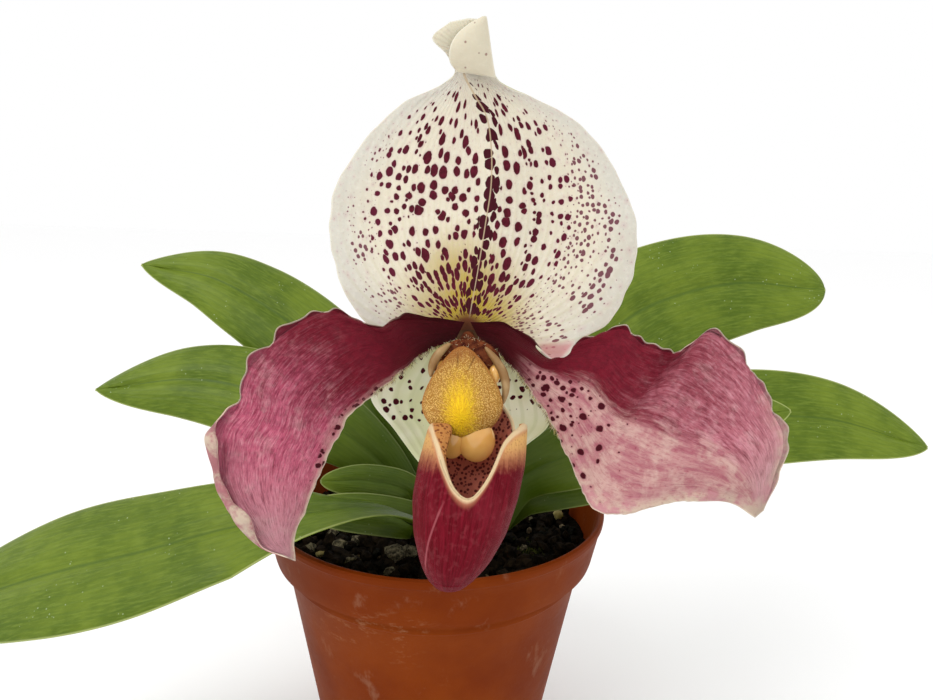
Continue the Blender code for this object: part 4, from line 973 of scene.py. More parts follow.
# Crimson below and peach above meet in a streaky line.
red = pouch.blend(streak.ease(0.36, 0.66), (0.11, 0.002, 0.007), (0.19, 0.006, 0.017))
red = pouch.blend(cloud.ease(0.5, 0.75) * 0.3, red, (0.26, 0.025, 0.04))
red = pouch.blend(grain.ease(0.5, 0.7) * 0.2, red, (0.32, 0.07, 0.08))
dots = pouch.cells(place, 1500.0, 0.9).ease(0.4, 0.25)
peach = pouch.blend(dots * 0.5, (0.86, 0.52, 0.18), (0.55, 0.24, 0.07))
peach = pouch.blend(height.ease(-21.5, -26.0) * 0.7, peach, (0.45, 0.13, 0.08))
top = (height + (streak - 0.5) * 4.0 + (grain - 0.5) * 2.0).ease(-28.0, -23.5)
colour = pouch.blend(top * 0.9, red, peach)
# One paler vein leans down the front.
VEIN_TURN, VEIN_HEIGHT, VEIN_LEAN = 0.43, 33.1, -0.034
line = (turn + VEIN_TURN + (height + VEIN_HEIGHT) * VEIN_LEAN).size()
vein = line.ease(0.03, 0.008) * height.ease(-31.5, -34.0) * height.ease(-46.0, -43.0) * ahead.ease(0.0, 0.2)
colour = pouch.blend(vein * 0.5, colour, (0.5, 0.14, 0.16))
# The rim is a cream line in a warm border, with the dotted flap and the freckled inside beyond it.
colour = pouch.blend(rim.ease(2.2, 0.6) * 0.6, colour, (0.6, 0.24, 0.13))
colour = pouch.blend(rim.ease(1.15, 0.15) * rim.ease(-0.9, -0.4) * 0.95, colour, (0.84, 0.64, 0.38))
flap_dots = pouch.cells(place, 1300.0, 0.9).ease(0.5, 0.3)
flap = pouch.blend(flap_dots * 0.8, (0.55, 0.24, 0.07), (0.16, 0.03, 0.012))
colour = pouch.blend(rim.ease(-0.5, -0.9), colour, flap)
freckles = pouch.cells(place, 1250.0, 0.85).ease(0.46, 0.34)
inside = pouch.blend(freckles * 0.9, (0.58, 0.18, 0.12), (0.07, 0.006, 0.01))
colour = pouch.blend(side.ease(0.2, -0.2) * rim.ease(0.0, 0.5), colour, inside)
wear(lip_piece, pouch.paint(colour, bump=streak * 1.5 + grain * 0.25 + cloud, depth=0.35))

# %% [markdown]
# In the flower's middle a golden shield covers the column. It is an egg-shaped dome with a grainy skin, a
# smooth bright boss in its centre and two dark slits near its top. A squeezed ball would be too round, so
# egg-shaped rings shrink to the middle, and the boss, the grain and the slits are added to their depth.
# %% Shield
SHIELD_CENTRE = np.array([-1.0, -14.0, -15.1])
SHIELD_HALF, SHIELD_UP, SHIELD_DOWN = 8.4, 11.9, 6.8
SHIELD_DEPTH, SHIELD_LEAN, SHIELD_THICKNESS = 3.4, 0.3, 1.1
SHIELD_ROWS, SHIELD_COLUMNS = 80, 160
SLIT_HALF, SLIT_LONG = 0.42, 1.4


def shield_grid():
    """A dome: egg-shaped rings that shrink to the centre, hanging back with the square of their reach.

    A low boss stands below the middle, tiny bumps cover the skin, and two slits sink in near the top.
    """
    turn = np.linspace(0, 2 * math.pi, SHIELD_COLUMNS, endpoint=False)[None]
    reach = np.linspace(1.0, 0.01, SHIELD_ROWS)[:, None]
    upper = np.clip(np.sin(turn), 0, 1)
    x = SHIELD_CENTRE[0] + SHIELD_HALF * (1.0 - 0.4 * upper**1.3) * reach * np.cos(turn)
    z = SHIELD_CENTRE[2] + np.where(np.sin(turn) > 0, SHIELD_UP, SHIELD_DOWN) * reach * np.sin(turn)
    y = SHIELD_CENTRE[1] + SHIELD_DEPTH * reach**2 + SHIELD_LEAN * (z - SHIELD_CENTRE[2])
    boss = np.exp(-((x + 1.5) / 1.8) ** 2) * np.exp(-((z + 16.5) / 4.0) ** 2)
    bumps = ripple(x, z, 8, 1.0, 2.2, 16)
    slits = (np.exp(-((x + 1.9) / SLIT_HALF) ** 2 - ((z + 6.2) / SLIT_LONG) ** 2)
             + np.exp(-((x - 0.9 - 0.5 * (z + 6.8)) / SLIT_HALF) ** 2 - ((z + 6.8) / SLIT_LONG) ** 2))
    y = y - 0.9 * boss - 0.1 * bumps + 1.0 * slits
    return np.stack([x, y, z], axis=2), reach, slits


grid, reach, slits = shield_grid()
points, quads, caps = shell_of(grid, SHIELD_THICKNESS)
shield_piece = add_piece("fine_staminode", points, quads, caps, slot="shield_gold", replaces=["staminode"],
                         place=both_skins(grid[..., 0], grid[..., 2], reach),
                         hole=both_skins(slits, slits, slits))
# %% [markdown]
# The shield's skin is tan and beaded like fine leather, and yellow hairs spread from its boss. The hairs are
# too short to be worth their faces. They are noise read round the boss, so that it runs outwards in rays.
# %% Shield finish
gold = Finish("shield_gold", roughness=0.45, subsurface=0.08, radius=0.8, shine=0.15)
x, z, reach = gold.attribute("place")
dark = gold.attribute("hole")[0]
place = gold.object_place()
beads = gold.cells(place, 3200.0, 0.9)
cloud = gold.noise(place, 220.0, 3.0)
away = gold.vector(x + 1.4, z + 17.3).length()
ray = gold.node("ShaderNodeMath", {0: x + 1.4, 1: z + 17.3}, operation="ARCTAN2")
hairs = gold.noise(gold.vector(ray * 9.0, away * 0.5), 1.0, 3.0, 0.7)
# Beads on tan leather, darker towards the top.
tan = gold.blend(beads.ease(0.15, 0.6), (0.84, 0.55, 0.18), (0.4, 0.19, 0.03))
tan = gold.blend(cloud.ease(0.5, 0.75) * 0.4, tan, (0.36, 0.13, 0.035))
strand = gold.noise(gold.vector(x * 2.6, z * 0.5), 1.0, 3.0, 0.7)
tan = gold.blend((z + x.size() * 0.4 + (strand - 0.5) * 7.0).ease(-7.5, -3.5) * 0.6, tan, (0.22, 0.05, 0.014))
# The yellow boss fades into it, then come the brown rim and the two dark slits.
yellow = gold.blend(hairs.ease(0.35, 0.65), (0.97, 0.66, 0.012), (0.78, 0.42, 0.006))
tall = gold.vector((x + 1.4) * 1.3, (z + 16.8) * 0.62).length()
glow = (tall + (hairs - 0.5) * 3.0 + (beads - 0.3) * 1.5).ease(7.0, 0.5)
tan = gold.blend(glow, tan, yellow)
tan = gold.blend(reach.ease(0.9, 1.0) * 0.6, tan, (0.4, 0.14, 0.03))
tan = gold.blend(dark.ease(0.1, 0.55) * 0.9, tan, (0.1, 0.018, 0.006))
wear(shield_piece, gold.paint(tan, bump=beads + hairs * -0.8 * glow, depth=-0.2))

# %% [markdown]
# The column, its lobes, the stem and the ovary are all round across. A curve with a bevel would do for some
# of them, but not for their changing width. Rings of points do for all: along a path they are a tube, and on
# a ball they are its circles of latitude.
# %% Tubes and balls


def ball_grid(place, sizes, rows=28, columns=40):
    """A ball squeezed along its three ways: the sine and cosine of two angles times the sizes."""
    polar = np.linspace(0.02, math.pi - 0.02, rows)[:, None]
    turn = np.linspace(0, 2 * math.pi, columns, endpoint=False)[None]
    ways = [np.sin(polar) * np.cos(turn), np.sin(polar) * np.sin(turn), np.cos(polar) + 0 * turn]
    return np.stack([place[k] + sizes[k] * ways[k] for k in range(3)], axis=2)


def closed_tube(grid):
    """Quads and cap triangles for rings of points, with two more points that close the ends."""
    rows, columns, _ = grid.shape
    first, after = np.arange(columns), (np.arange(columns) + 1) % columns
    total = rows * columns
    ends = [np.stack([first, after, np.full(columns, total)], 1),
            np.stack([total - columns + first, total - columns + after, np.full(columns, total + 1)], 1)]
    points = np.concatenate([grid.reshape(-1, 3), grid[:1].mean(1), grid[-1:].mean(1)])
    return points, grid_quads(rows, columns, wrap=True), np.concatenate(ends)


def tube_grid(path, radii, columns=24):
    """Circles of the given radii, square to the path at each of its points."""
    along = unit(np.gradient(path, axis=0))
    side = unit(np.cross(along, np.array([0.0, 0.3, 1.0])))
    other = np.cross(along, side)
    turn = np.linspace(0, 2 * math.pi, columns, endpoint=False)[None, :, None]
    circle = side[:, None] * np.cos(turn) + other[:, None] * np.sin(turn)
    return path[:, None] + np.asarray(radii)[:, None, None] * circle


def add_flower_tube(name, grid, material, **options):
    """A closed tube or ball of the flower's own frame, moved to the plant and given its finish."""
    points, quads, caps = closed_tube(grid)
    return wear(add_piece(name, flower_points(points), quads, caps, slot="shield_gold", **options), material)


# %% [markdown]
# Behind the shield the column ends below in two waxy amber lobes, the stigma, and carries an anther on each
# side. A ball squeezed to each lobe's size is enough, because their wax-like gloss and a faint painted glow,
# which stands in for light shining through the wax, do the rest. Two pale wings arch beside the shield, as
# thin tubes that swell in their middle.
# %% Column
# Painted glow: a faint amber emission on the lobes and anthers stands in for light shining through their wax.
AMBER_GLOSS_AND_PAINTED_GLOW = dict(Coat_Weight=0.9, Coat_Roughness=0.05, Emission_Color=(0.8, 0.4, 0.1, 1.0),
                  Emission_Strength=0.12)
stigma_amber = two_tone("stigma_amber", 160.0, (0.3, 0.7), (0.66, 0.33, 0.07), (0.8, 0.47, 0.14), depth=0.3,
                        detail=2.0, roughness=0.18, subsurface=0.4, radius=3.0, **AMBER_GLOSS_AND_PAINTED_GLOW)
column_brown = two_tone("column_brown", 500.0, (0.35, 0.7), (0.04, 0.006, 0.004), (0.2, 0.055, 0.02),
                        depth=0.3, detail=4.0, rough=0.7, roughness=0.7, shine=0.04)
cream_flesh = two_tone("column_flesh", 260.0, (0.35, 0.7), (0.26, 0.14, 0.05), (0.42, 0.28, 0.13), depth=0.2,
                       roughness=0.4, subsurface=0.2, radius=1.5, shine=0.25)
LOBES = {"stigma_left": ((-3.2, -11.4, -22.4), (3.0, 2.2, 4.2)),
         "stigma_right": ((1.9, -11.6, -22.8), (4.0, 2.4, 4.5)),
         "anther_left": ((-5.4, -6.6, -8.0), (1.2, 1.2, 1.9)),
         "anther_right": ((5.9, -6.8, -9.2), (1.3, 1.2, 2.1))}
for name, (place, sizes) in LOBES.items():
    add_flower_tube(name, ball_grid(place, sizes), stigma_amber)
COLUMN_PATH = [(0.2, 0.8, -1.1), (0.2, -2.7, -2.3), (0.4, -7.4, -8.2), (0.4, -9.6, -18.0)]
path = smooth_through(COLUMN_PATH, 60)
column_grid = tube_grid(path, np.interp(np.linspace(0, 1, 60), (0, 0.5, 1), (1.6, 2.0, 2.6)), 32)
add_flower_tube("fine_column", column_grid, column_brown, replaces=["column"])
hollow_grid = ball_grid((0.2, -5.2, -7.4), (7.4, 2.0, 6.2))
add_flower_tube("column_back", hollow_grid, column_brown)
WINGS = {"wing_left": [(-3.6, -6.4, -2.4), (-6.1, -7.2, -4.6), (-7.5, -7.8, -7.2), (-7.8, -8.2, -9.6)],
         "wing_right": [(3.9, -6.4, -3.2), (6.3, -7.2, -6.2), (7.8, -7.8, -8.9), (8.3, -8.2, -11.9),
                        (7.7, -8.4, -15.4)]}
wing_radii = 0.15 + 0.85 * np.sin(np.linspace(0.0, math.pi, 40)) ** 0.6
for name, path in WINGS.items():
    add_flower_tube(name, tube_grid(smooth_through(path, 40), wing_radii, 16), cream_flesh)

# %% [markdown]
# Short hairs stand along the petals' lower edges and round the column, and cover the stem. Blender's own hair
# would not be exported as a mesh, so each is a slim three-sided cone, and hundreds of them are one piece.
# %% Hairs


def hair_cones(roots, ways, long, wide, seed):
    """Three-sided cones, one on each root, tipped along its way with a little disorder."""
    random = np.random.default_rng(seed)
    count = len(roots)
    ways = unit(ways + random.normal(0, 0.25, (count, 3)))
    side = unit(np.cross(ways, random.normal(0, 1, (count, 3))))
    other = np.cross(ways, side)
    corners = [roots - 0.1 * ways + wide * (side * math.cos(a) + other * math.sin(a))
               for a in (0.0, 2.1, 4.2)]
    tips = roots + ways * (long * random.uniform(0.5, 1.2, count))[:, None]
    points = np.stack([*corners, tips], axis=1).reshape(-1, 3)
    base = 4 * np.arange(count)[:, None]
    faces = np.concatenate([base + np.array(f) for f in ((0, 1, 3), (1, 2, 3), (2, 0, 3), (0, 2, 1))])
    return points, faces


def tube_hairs(grid, count, seed):
    """Random roots on a tube's skin, with the way out from its middle line."""
    random = np.random.default_rng(seed)
    rows, columns, _ = grid.shape
    row, column = random.integers(1, rows - 1, count), random.integers(0, columns, count)
    roots = grid[row, column]
    return roots, unit(roots - grid.mean(axis=1)[row])


HAIR_DETAIL = dict(detail=2.0, roughness=0.6, shine=0.15)
fuzz_brown = two_tone("stem_fuzz", 300.0, None, (0.16, 0.05, 0.04), (0.34, 0.2, 0.14), roughness=0.7)
FRINGES = {"cream": ((0.55, 0.45, 0.16), (0.8, 0.74, 0.5)), "dark": ((0.03, 0.004, 0.004), (0.2, 0.05, 0.02))}
fringes = {tone: two_tone("fringe_" + tone, 600.0, (0.4, 0.6), dark, light, **HAIR_DETAIL)
           for tone, (dark, light) in FRINGES.items()}

# %% [markdown]
# The fringes on the flower are cream and dark in turn. Their roots are picked at random on the petals' lower
# edges near the base, on the column and on the ball behind it, which gives their uneven look by itself.
# %% Fringes of the flower
FRINGE_LENGTH, FRINGE_HALF = 1.05, 0.055
FRINGE_COUNTS = {"cream": 330, "dark": 170}
random = np.random.default_rng(5)
roots, ways = {"cream": [], "dark": []}, {"cream": [], "dark": []}
for name, side in (("left", -1.0), ("right", 1.0)):
    edge_line = petal_sheets[name][6:80, 0]
    for tone, count in FRINGE_COUNTS.items():
        pick = random.integers(0, len(edge_line), count)
        roots[tone].append(edge_line[pick] + random.normal(0, 0.25, (count, 3)))
        ways[tone].append(np.array([-0.15 * side, -0.55, -1.0]) + random.normal(0, 0.35, (count, 3)))
knob = (column_grid[14:34].reshape(-1, 3), np.array([0.3, -4.0, -5.0]), 260)
ball_front = (hollow_grid[:, 20:].reshape(-1, 3), np.array([0.2, -3.0, -7.4]), 420)
for source, centre, count in (knob, ball_front):
    chosen = source[random.integers(0, len(source), count)]
    for tone, part in (("dark", slice(0, count * 2 // 3)), ("cream", slice(count * 2 // 3, count))):
        roots[tone].append(chosen[part])
        ways[tone].append(unit(chosen[part] - centre) + np.array([0.0, -0.3, -0.4]))
for tone, material in fringes.items():
    points, faces = hair_cones(np.concatenate(roots[tone]), np.concatenate(ways[tone]),
                               FRINGE_LENGTH, FRINGE_HALF, 16)
    wear(add_piece("fringe_" + tone, flower_points(points), triangles=faces, slot="petal_rose"), material)

# %% [markdown]
# The flower stands on a leaning stem, the scape, and behind the flower the stem goes on as the ribbed ovary.
# Both could be curves with a bevel, but the hairs need their skins' points. So both are rings along a path
# that ends where the sepals start, and their hairs are rooted on those rings.
# %% Stem and ovary
KNEE = np.array([8.0, -34.0, 140.0])
SCAPE_RADIUS, RIB_HEIGHT, STEM_SIDES, STEM_HAIRS = 2.0, 0.06, 36, 900
scape = smooth_through([(8.0, -10.0, 93.0), (7.9, -11.5, 106.0), (7.8, -20.0, 124.0), KNEE], 90)
back = FLOWER[:3, 1]
seat = np.array(FLOWER_CENTRE) + back * 2.9
ovary = smooth_through([KNEE, (8.1, -40.5, 147.2), (8.4, -49.0, 154.8), seat + back * 4.0, seat], 90)
ovary_radii = np.interp(np.linspace(0, 1, 90), (0, 0.3, 0.75, 0.9, 1.0), (2.0, 2.6, 2.6, 2.4, 3.2))
turns = np.linspace(0, 2 * math.pi, STEM_SIDES, endpoint=False)[None, :, None]
ribs = 1.0 + RIB_HEIGHT * np.cos(3 * turns)
stalk = Finish("stem_green", roughness=0.55, subsurface=0.1, radius=1.5)
cloud = stalk.noise(stalk.object_place(), 90.0, 3.0)
freckle = stalk.noise(stalk.object_place(), 500.0, 2.0)
stem = stalk.blend(cloud.ease(0.35, 0.7), (0.16, 0.15, 0.035), (0.2, 0.1, 0.05))
stem = stalk.blend(freckle.ease(0.55, 0.7) * 0.6, stem, (0.1, 0.02, 0.02))
stem_green = stalk.paint(stem, bump=freckle, depth=0.2)
STEMS = {"scape": (scape, np.full(90, SCAPE_RADIUS)), "ovary": (ovary, ovary_radii)}
for node, (path, radii) in STEMS.items():
    grid = tube_grid(path, radii, STEM_SIDES)
    if node == "ovary":
        grid = path[:, None] + (grid - path[:, None]) * ribs
    points, quads, caps = closed_tube(grid)
    wear(add_piece("fine_" + node, points, quads, caps, slot="stem_green", replaces=[node]), stem_green)
    points, faces = hair_cones(*tube_hairs(grid, STEM_HAIRS, 14), 0.9, 0.07, 15)
    wear(add_piece(node + "_hairs", points, triangles=faces, slot="stem_green"), fuzz_brown)

# %% [markdown]
# The bract is a small green sheath that wraps the ovary's foot from behind and opens towards its tip. It is
# a sheet of arcs about the ovary's path, each narrower than the one before. The crown below keeps its plain
# solid, because the leaves hide nearly all of it, and only gets a finish.
# %% Bract and crown
BRACT_WRAP, BRACT_TAPER, BRACT_REACH, BRACT_FLARE = 110.0, 0.85, 3.2, 2.0
BRACT_THICKNESS, BRACT_EDGE = 0.8, 0.25
to_right = np.array([1.0, 0.0, 0.0])
t = np.linspace(0.0, 1.0, 70)[:, None, None]
spine = smooth_through(ovary[:55], 70)[:, None]
behind = unit(np.cross(unit(np.gradient(spine[:, 0], axis=0)), to_right))[:, None]
behind *= np.sign(behind[..., 1:2])
across = np.linspace(-1.0, 1.0, 41)
spread = across[None, :, None] * math.radians(BRACT_WRAP) * (1.0 - BRACT_TAPER * t**1.5)
reach = BRACT_REACH + BRACT_FLARE * t**2
bract = spine + reach * (np.cos(spread) * behind + np.sin(spread) * to_right)
piece = add_blade("fine_bract", bract, across[None], t[..., 0], BRACT_THICKNESS, BRACT_EDGE, behind,
                  slot="leaf_green", replaces=["bract"])
wear(piece, leaf_green)
wear(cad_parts["crown"], two_tone("crown_sheath", 120.0, None, (0.06, 0.09, 0.015), (0.2, 0.22, 0.07),
                                       depth=0.3, roughness=0.5))

# %% [markdown]
# The pot is a thin turned shell of brown plastic: a tall collar on a tapering wall, a shallow ring under it
# and drain holes in its floor. Stacked cylinders would show their joints. One profile turned round the axis
# gives all of it in a single skin, and the holes are cut from that.
# %% Pot profile
POT_HEIGHT, RIM_RADIUS, COLLAR_HEIGHT, COLLAR_FOOT, WALL_TOP, BASE_RADIUS = 96.0, 55.0, 15.4, 51.9, 48.6, 34.0
WALL, FLOOR, RING_DROP, POT_SIDES = 1.7, 2.2, 4.0, 240
DRAIN_HOLES, DRAIN_RADIUS, DRAIN_RING, DRAIN_CUT = 6, 4, 22, 9
SHARP_ANGLE = 40.0
collar_foot = POT_HEIGHT - COLLAR_HEIGHT
ring = collar_foot - RING_DROP


def wall_radius(height):
    """Outer radius of the wall below the collar: a straight taper from the base to its top."""
    return BASE_RADIUS + (WALL_TOP - BASE_RADIUS) * height / collar_foot


profile = [(14.0, FLOOR), (wall_radius(FLOOR) - WALL - 1.5, FLOOR), (wall_radius(FLOOR) - WALL, FLOOR + 1.5),
           (wall_radius(collar_foot) - WALL, collar_foot - 1.0), (COLLAR_FOOT - WALL, collar_foot + 2.0),
           (RIM_RADIUS - WALL - 0.4, POT_HEIGHT - 1.0), (RIM_RADIUS - WALL + 0.2, POT_HEIGHT - 0.15),
           (RIM_RADIUS - 1.0, POT_HEIGHT), (RIM_RADIUS - 0.2, POT_HEIGHT - 0.35),
           (RIM_RADIUS, POT_HEIGHT - 1.1), (RIM_RADIUS - 0.15, POT_HEIGHT - 2.4),
           (RIM_RADIUS - 0.7, POT_HEIGHT - 3.1),
           (COLLAR_FOOT + 0.1, collar_foot + 1.2), (COLLAR_FOOT - 0.2, collar_foot + 0.2),
           (COLLAR_FOOT - 0.9, collar_foot - 0.1), (WALL_TOP + 0.15, collar_foot - 0.45),
           (wall_radius(ring + 1.2), ring + 1.2), (wall_radius(ring) + 0.3, ring + 0.5),
           (wall_radius(ring) + 0.3, ring - 0.3), (wall_radius(ring - 1.0), ring - 1.0),
           (wall_radius(3.0), 3.0), (BASE_RADIUS, 0.8), (BASE_RADIUS - 0.8, 0.0), (14.0, 0.0)]
print("the pot's profile has", len(profile), "corners")

# %% [markdown]
# Each stretch of the profile is divided in four, so that the smooth shading stays true round the collar. The
# drain holes are the one place where cutting is right: a drill is subtracted six times, and goes.
# %% Pot
stretches = [np.linspace(a, b, 5)[:-1] for a, b in zip(profile[:-1], profile[1:])]
outline = np.concatenate([*stretches, np.array(profile[-1:])])
angle = np.linspace(0, 2 * math.pi, POT_SIDES, endpoint=False)[None]
out = outline[:, :1]
shell = np.stack([out * np.cos(angle), out * np.sin(angle), outline[:, 1:] + 0 * angle], axis=2)
points, quads, caps = closed_tube(shell)
pot_piece = add_piece("fine_pot", points, quads, caps, slot="terracotta_plastic", replaces=["pot"])
for number in range(DRAIN_HOLES):
    turn = math.radians(360 / DRAIN_HOLES * number)
    place = (DRAIN_RING * MM * math.cos(turn), DRAIN_RING * MM * math.sin(turn), MM)
    bpy.ops.mesh.primitive_cylinder_add(vertices=24, radius=DRAIN_RADIUS * MM, depth=DRAIN_CUT * MM,
                                        location=place)
    drill = bpy.context.object
    cut = pot_piece.modifiers.new("drain", "BOOLEAN")
    cut.operation, cut.solver, cut.object = "DIFFERENCE", "MANIFOLD", drill
    bpy.context.view_layer.update()
    cut_mesh = bpy.data.meshes.new_from_object(pot_piece.evaluated_get(bpy.context.evaluated_depsgraph_get()))
    pot_piece.modifiers.clear()
    pot_piece.data = cut_mesh
    bpy.data.objects.remove(drill)
pot_piece.data.shade_smooth()
pot_piece.data.set_sharp_from_angle(angle=math.radians(SHARP_ANGLE))

# %% [markdown]
# Cheap pot plastic is satin, a little uneven in tone, and picks up pale scuffs and lime marks where it is
# handled. Marks painted one by one would repeat from side to side. These are noise stretched round the pot,
# and a second noise keeps them to a few patches.
# %% Pot finish
clay = Finish("terracotta_plastic", roughness=0.5, shine=0.05)
place = clay.object_place()
x, y, height = clay.split(place)
cloud = clay.noise(place, 28.0, 4.0, 0.6)
tone = clay.blend(cloud.ease(0.3, 0.75), (0.15, 0.021, 0.0005), (0.21, 0.037, 0.0015))
angle = clay.node("ShaderNodeMath", {0: y, 1: x}, operation="ARCTAN2")
scuff = clay.noise(clay.vector(angle * 9.0, height * 420.0), 1.0, 5.0, 0.7)
patch = clay.noise(place, 26.0, 2.0).ease(0.56, 0.72)
tone = clay.blend(scuff.ease(0.52, 0.72) * patch * 0.5, tone, (0.4, 0.22, 0.12))
smear = clay.noise(clay.vector(angle * 5.0, height * 60.0, 3.0), 1.0, 5.0, 0.65)
tone = clay.blend(smear.ease(0.58, 0.72) * 0.22, tone, (0.42, 0.26, 0.17))
grain = clay.noise(place, 1500.0, 2.0)
wear(pot_piece, clay.paint(tone, scuff * 0.2 + smear * 0.15 + 0.36, grain * 0.3 + cloud, 0.15))

# %% [markdown]
# The potting mix is bark, charcoal and grit. A bumpy bed fills the pot down to its floor, and everything
# loose lies on that. A displaced disc would leave gaps at the wall, so the bed is rings from the floor up,
# whose heights come from a sum of sines. The same sum tells the loose pieces later where the bed is.
# %% Bed of the mix
SOIL_LEVEL, SOIL_RADIUS, BED_ROWS, BED_COLUMNS = 83.0, 50.2, 90, 180
MIX_SHOULDER = 79.0
angle = np.linspace(0, 2 * math.pi, BED_COLUMNS, endpoint=False)
radius = np.linspace(SOIL_RADIUS, 0.2, BED_ROWS)[:, None]
x, y = radius * np.cos(angle), radius * np.sin(angle)


def soil_height(x, y):
    """The bed's height: broad waves and small lumps, both sums of sines."""
    return SOIL_LEVEL + 1.2 * ripple(x, y, 3, 0.02, 0.06) + 1.6 * ripple(x, y, 4, 0.08, 0.2, 10)


bed = np.stack([x, y, soil_height(x, y)], axis=2)
FOOT_RINGS = ((30.4, FLOOR + 0.3), (31.8, FLOOR + 1.9),
              (wall_radius(MIX_SHOULDER) - WALL - 0.5, MIX_SHOULDER))
foot = [np.stack([r * np.cos(angle), r * np.sin(angle), 0 * angle + h], axis=1)[None] for r, h in FOOT_RINGS]
points, quads, caps = closed_tube(np.concatenate([*foot, bed]))
bed_piece = add_piece("fine_potting_mix", points, quads, caps, slot="potting_mix", replaces=["potting_mix"])
wear(bed_piece, two_tone("potting_bed", 600.0, (0.4, 0.75), (0.003, 0.002, 0.001), (0.02, 0.014, 0.008),
                         depth=0.8, detail=4.0, rough=0.7, roughness=0.95, shine=0.05))

# %% [markdown]
# Hundreds of small angular chips lie on the bed, each a ball of twenty faces pushed out of round. A particle
# system would make each an object of its own, so all chips of one colour are one mesh, made in one sum.
# %% Scattering


def icosahedron():
    """Twelve points at even angles and the twenty faces between them."""
    work = bmesh.new()
    bmesh.ops.create_icosphere(work, subdivisions=1, radius=1.0)
    points = np.array([v.co for v in work.verts])
    faces = np.array([[v.index for v in f.verts] for f in work.faces])
    work.free()
    return points, faces


def scatter(count, sizes, flatness, seed, sink=0.2, spots=None, sized=None, dents=0.2):
    """Chips on the bed: copies of the small ball, each stretched, turned, dented and sunk a little.

    They lie at random over the bed, as densely at its edge as in its middle, unless spots and
    sized give their places and sizes.
    """
    random = np.random.default_rng(seed)
    ball, faces = icosahedron()
    reach = (SOIL_RADIUS - 3.0) * np.sqrt(random.uniform(0.0, 1.0, count))
    turn = random.uniform(0, 2 * math.pi, count)
    x, y = reach * np.cos(turn), reach * np.sin(turn)
    if spots is not None:
        x, y = np.array(spots, float).T
    size = random.uniform(*sizes, count) if sized is None else np.array(sized)
    stretch = random.uniform(0.65, 1.25, (count, 3)) * np.array([1.0, 1.0, flatness])
    dent = random.uniform(1.0 - 1.4 * dents, 1.0 + 0.6 * dents, (count, len(ball)))
    shape = ball[None] * dent[..., None] * stretch[:, None]
    way = np.linalg.qr(random.normal(0, 1, (count, 3, 3)) * np.array([0.5, 0.5, 1.0]) + np.eye(3) * 0.8)[0]
    shape = np.einsum("nij,nkj->nki", way, shape) * size[:, None, None]
    z = soil_height(x, y) + size * (0.5 - sink) + random.uniform(0.0, 1.2, count)
    points = shape + np.stack([x, y, z], axis=1)[:, None]
    faces = faces[None] + (np.arange(count) * len(ball))[:, None, None]
    return points.reshape(-1, 3), faces.reshape(-1, 3)


def sight(u, v, height):
    """The spot at a height on the line of sight through a pixel of the photograph."""
    right, down = (u - IMAGE_WIDTH / 2) / FOCAL_PIXELS, (v - IMAGE_HEIGHT / 2) / FOCAL_PIXELS
    ray = VIEW_RIGHT * right + VIEW_DOWN * down + VIEW_AHEAD
    return (EYE + ray * (height - EYE[2]) / ray[2])[:2]


# %% [markdown]
# A few stones and pale pebbles catch the eye in the photograph, so they lie where they are seen in it: each
# is named by its pixel and its size in millimetres, and the line of sight is followed down to the bed.
# %% Stones and pebbles
STONE_TOP, PEBBLE_TOP = 86.0, 86.5
STONES = [(311, 545, 2.8), (333, 531, 2.8), (339, 544, 2.8), (356, 536, 2.8), (353, 559, 3.4),
          (370, 520, 2.0), (384, 532, 2.6), (387, 542, 2.6), (390, 571, 2.2), (531, 515, 1.6),
          (524, 546, 2.0), (396, 555, 4.2), (409, 551, 3.8)]
spots = [sight(u, v, STONE_TOP) for u, v, size in STONES]
sizes = [size for u, v, size in STONES]
points, faces = scatter(len(STONES), (1.0, 1.0), 0.85, 77, sink=-0.05, spots=spots, sized=sizes)
stone_piece = add_piece("grey_stones", points, triangles=faces, slot="potting_mix", flat=True)
wear(stone_piece, two_tone("grey_stone", 900.0, (0.36, 0.66), (0.015, 0.012, 0.006), (0.2, 0.17, 0.1),
                           depth=0.6, detail=4.0, rough=0.75, roughness=0.9, shine=0.1))
PEBBLES = [(557, 512, 3.1), (320, 548, 1.6), (573, 525, 0.6)]
spots = [sight(u, v, PEBBLE_TOP) for u, v, size in PEBBLES]
sizes = [size for u, v, size in PEBBLES]
points, faces = scatter(len(PEBBLES), (1.0, 1.0), 0.8, 79, sink=-0.2, spots=spots, sized=sizes, dents=0.06)
pebble_piece = add_piece("pale_pebbles", points, triangles=faces, slot="potting_mix")
wear(pebble_piece, two_tone("pale_pebble", 300.0, (0.35, 0.65), (0.22, 0.17, 0.05), (0.4, 0.34, 0.15),
                            depth=0.3, detail=4.0, rough=0.6, roughness=0.7, shine=0.15))

# %% [markdown]
# The rest of the mix is bark, charcoal and a little pale pumice, each scattered with its own size and colour.
# The numbers are the count, the sizes in millimetres, the flatness and the seed, then the two colours.
# %% Chips
CHIPS = {"bark_chips": (620, (1.4, 3.4), 0.7, 41, (0.003, 0.002, 0.001), (0.019, 0.012, 0.006)),
         "charcoal_grit": (520, (0.8, 2.0), 0.9, 42, (0.002, 0.002, 0.001), (0.01, 0.009, 0.006)),
         "pumice_grit": (45, (0.6, 1.5), 0.9, 43, (0.1, 0.07, 0.035), (0.28, 0.22, 0.14))}
for name, (count, sizes, flatness, seed, dark, light) in CHIPS.items():
    points, faces = scatter(count, sizes, flatness, seed)
    piece = add_piece(name, points, triangles=faces, slot="potting_mix", flat=True)
    wear(piece, two_tone(name, 420.0, (0.35, 0.7), dark, light, depth=0.4, detail=4.0, rough=0.65,
                         roughness=0.9, shine=0.05))

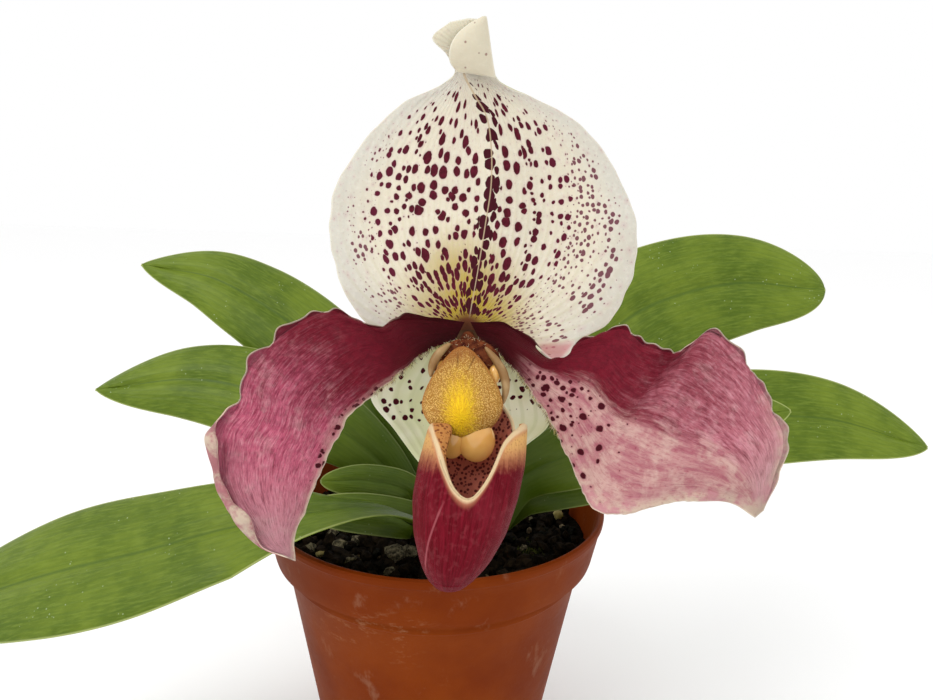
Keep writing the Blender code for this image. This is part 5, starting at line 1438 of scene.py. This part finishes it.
# %% [markdown]
# Tufts of moss grow in a few places. Each tuft is a swarm of the same slim cones as the hairs, rooted close
# round one spot and pointing up, which is lighter than leaves and looks the same at this size.
# %% Moss
TUFTS_SEEN, TUFTS_BEHIND = ((527, 543), (533, 552), (521, 553), (300, 535)), [(-18.0, 22.0), (30.0, 18.0)]
MOSS_COUNT, MOSS_TOP = 900, 84.0
random = np.random.default_rng(12)
clumps = np.array([sight(u, v, MOSS_TOP) for u, v in TUFTS_SEEN] + TUFTS_BEHIND)
picked = clumps[random.integers(0, len(clumps), MOSS_COUNT)] + random.normal(0, 1.5, (MOSS_COUNT, 2))
roots = np.column_stack([picked, soil_height(*picked.T) + random.uniform(0.3, 1.6, MOSS_COUNT)])
ways = np.array([0.0, 0.0, 1.0]) + random.normal(0, 0.4, (MOSS_COUNT, 3))
points, faces = hair_cones(roots, ways, 1.3, 0.12, 19)
moss_piece = add_piece("moss", points, triangles=faces, slot="potting_mix")
wear(moss_piece, two_tone("moss_green", 400.0, (0.35, 0.65), (0.02, 0.026, 0.004), (0.09, 0.1, 0.02),
                          roughness=0.85, shine=0.1))

# %% [markdown]
# The pot stands on a plain white floor under broad soft light, as in a small studio. The white world lights
# everything evenly, and one large lamp from the upper left gives the soft shadows their direction.
# %% Floor and light
FLOOR_SIZE, WHITE = 8.0, (1.0, 1.0, 1.0, 1.0)
bpy.ops.mesh.primitive_plane_add(size=FLOOR_SIZE)
floor = bpy.context.object
floor.name = "floor"
ground = Finish("floor_white", roughness=0.9)
ground.shader.inputs["Base Color"].default_value = (0.99, 0.99, 0.99, 1.0)
floor.data.materials.append(ground.material)
world = bpy.data.worlds.new("studio")
world.use_nodes = True
world.node_tree.nodes["Background"].inputs["Color"].default_value = WHITE
world.node_tree.nodes["Background"].inputs["Strength"].default_value = 1.0
bpy.context.scene.world = world
bpy.context.scene.view_settings.view_transform = "Standard"
LAMP_PLACE, LAMP_AIM, LAMP_SIZE, LAMP_POWER = (-0.45, -0.6, 1.0), (0.0, 0.0, 0.13), 0.5, 4.0
lamp = bpy.data.lights.new("key", "AREA")
lamp.size, lamp.energy = LAMP_SIZE, LAMP_POWER
light = bpy.data.objects.new("key", lamp)
bpy.context.scene.collection.objects.link(light)
away = (Vector(LAMP_PLACE) - Vector(LAMP_AIM)).to_track_quat("Z", "Y")
light.matrix_world = Matrix.Translation(LAMP_PLACE) @ away.to_matrix().to_4x4()
print("lamp", LAMP_POWER, "watts")
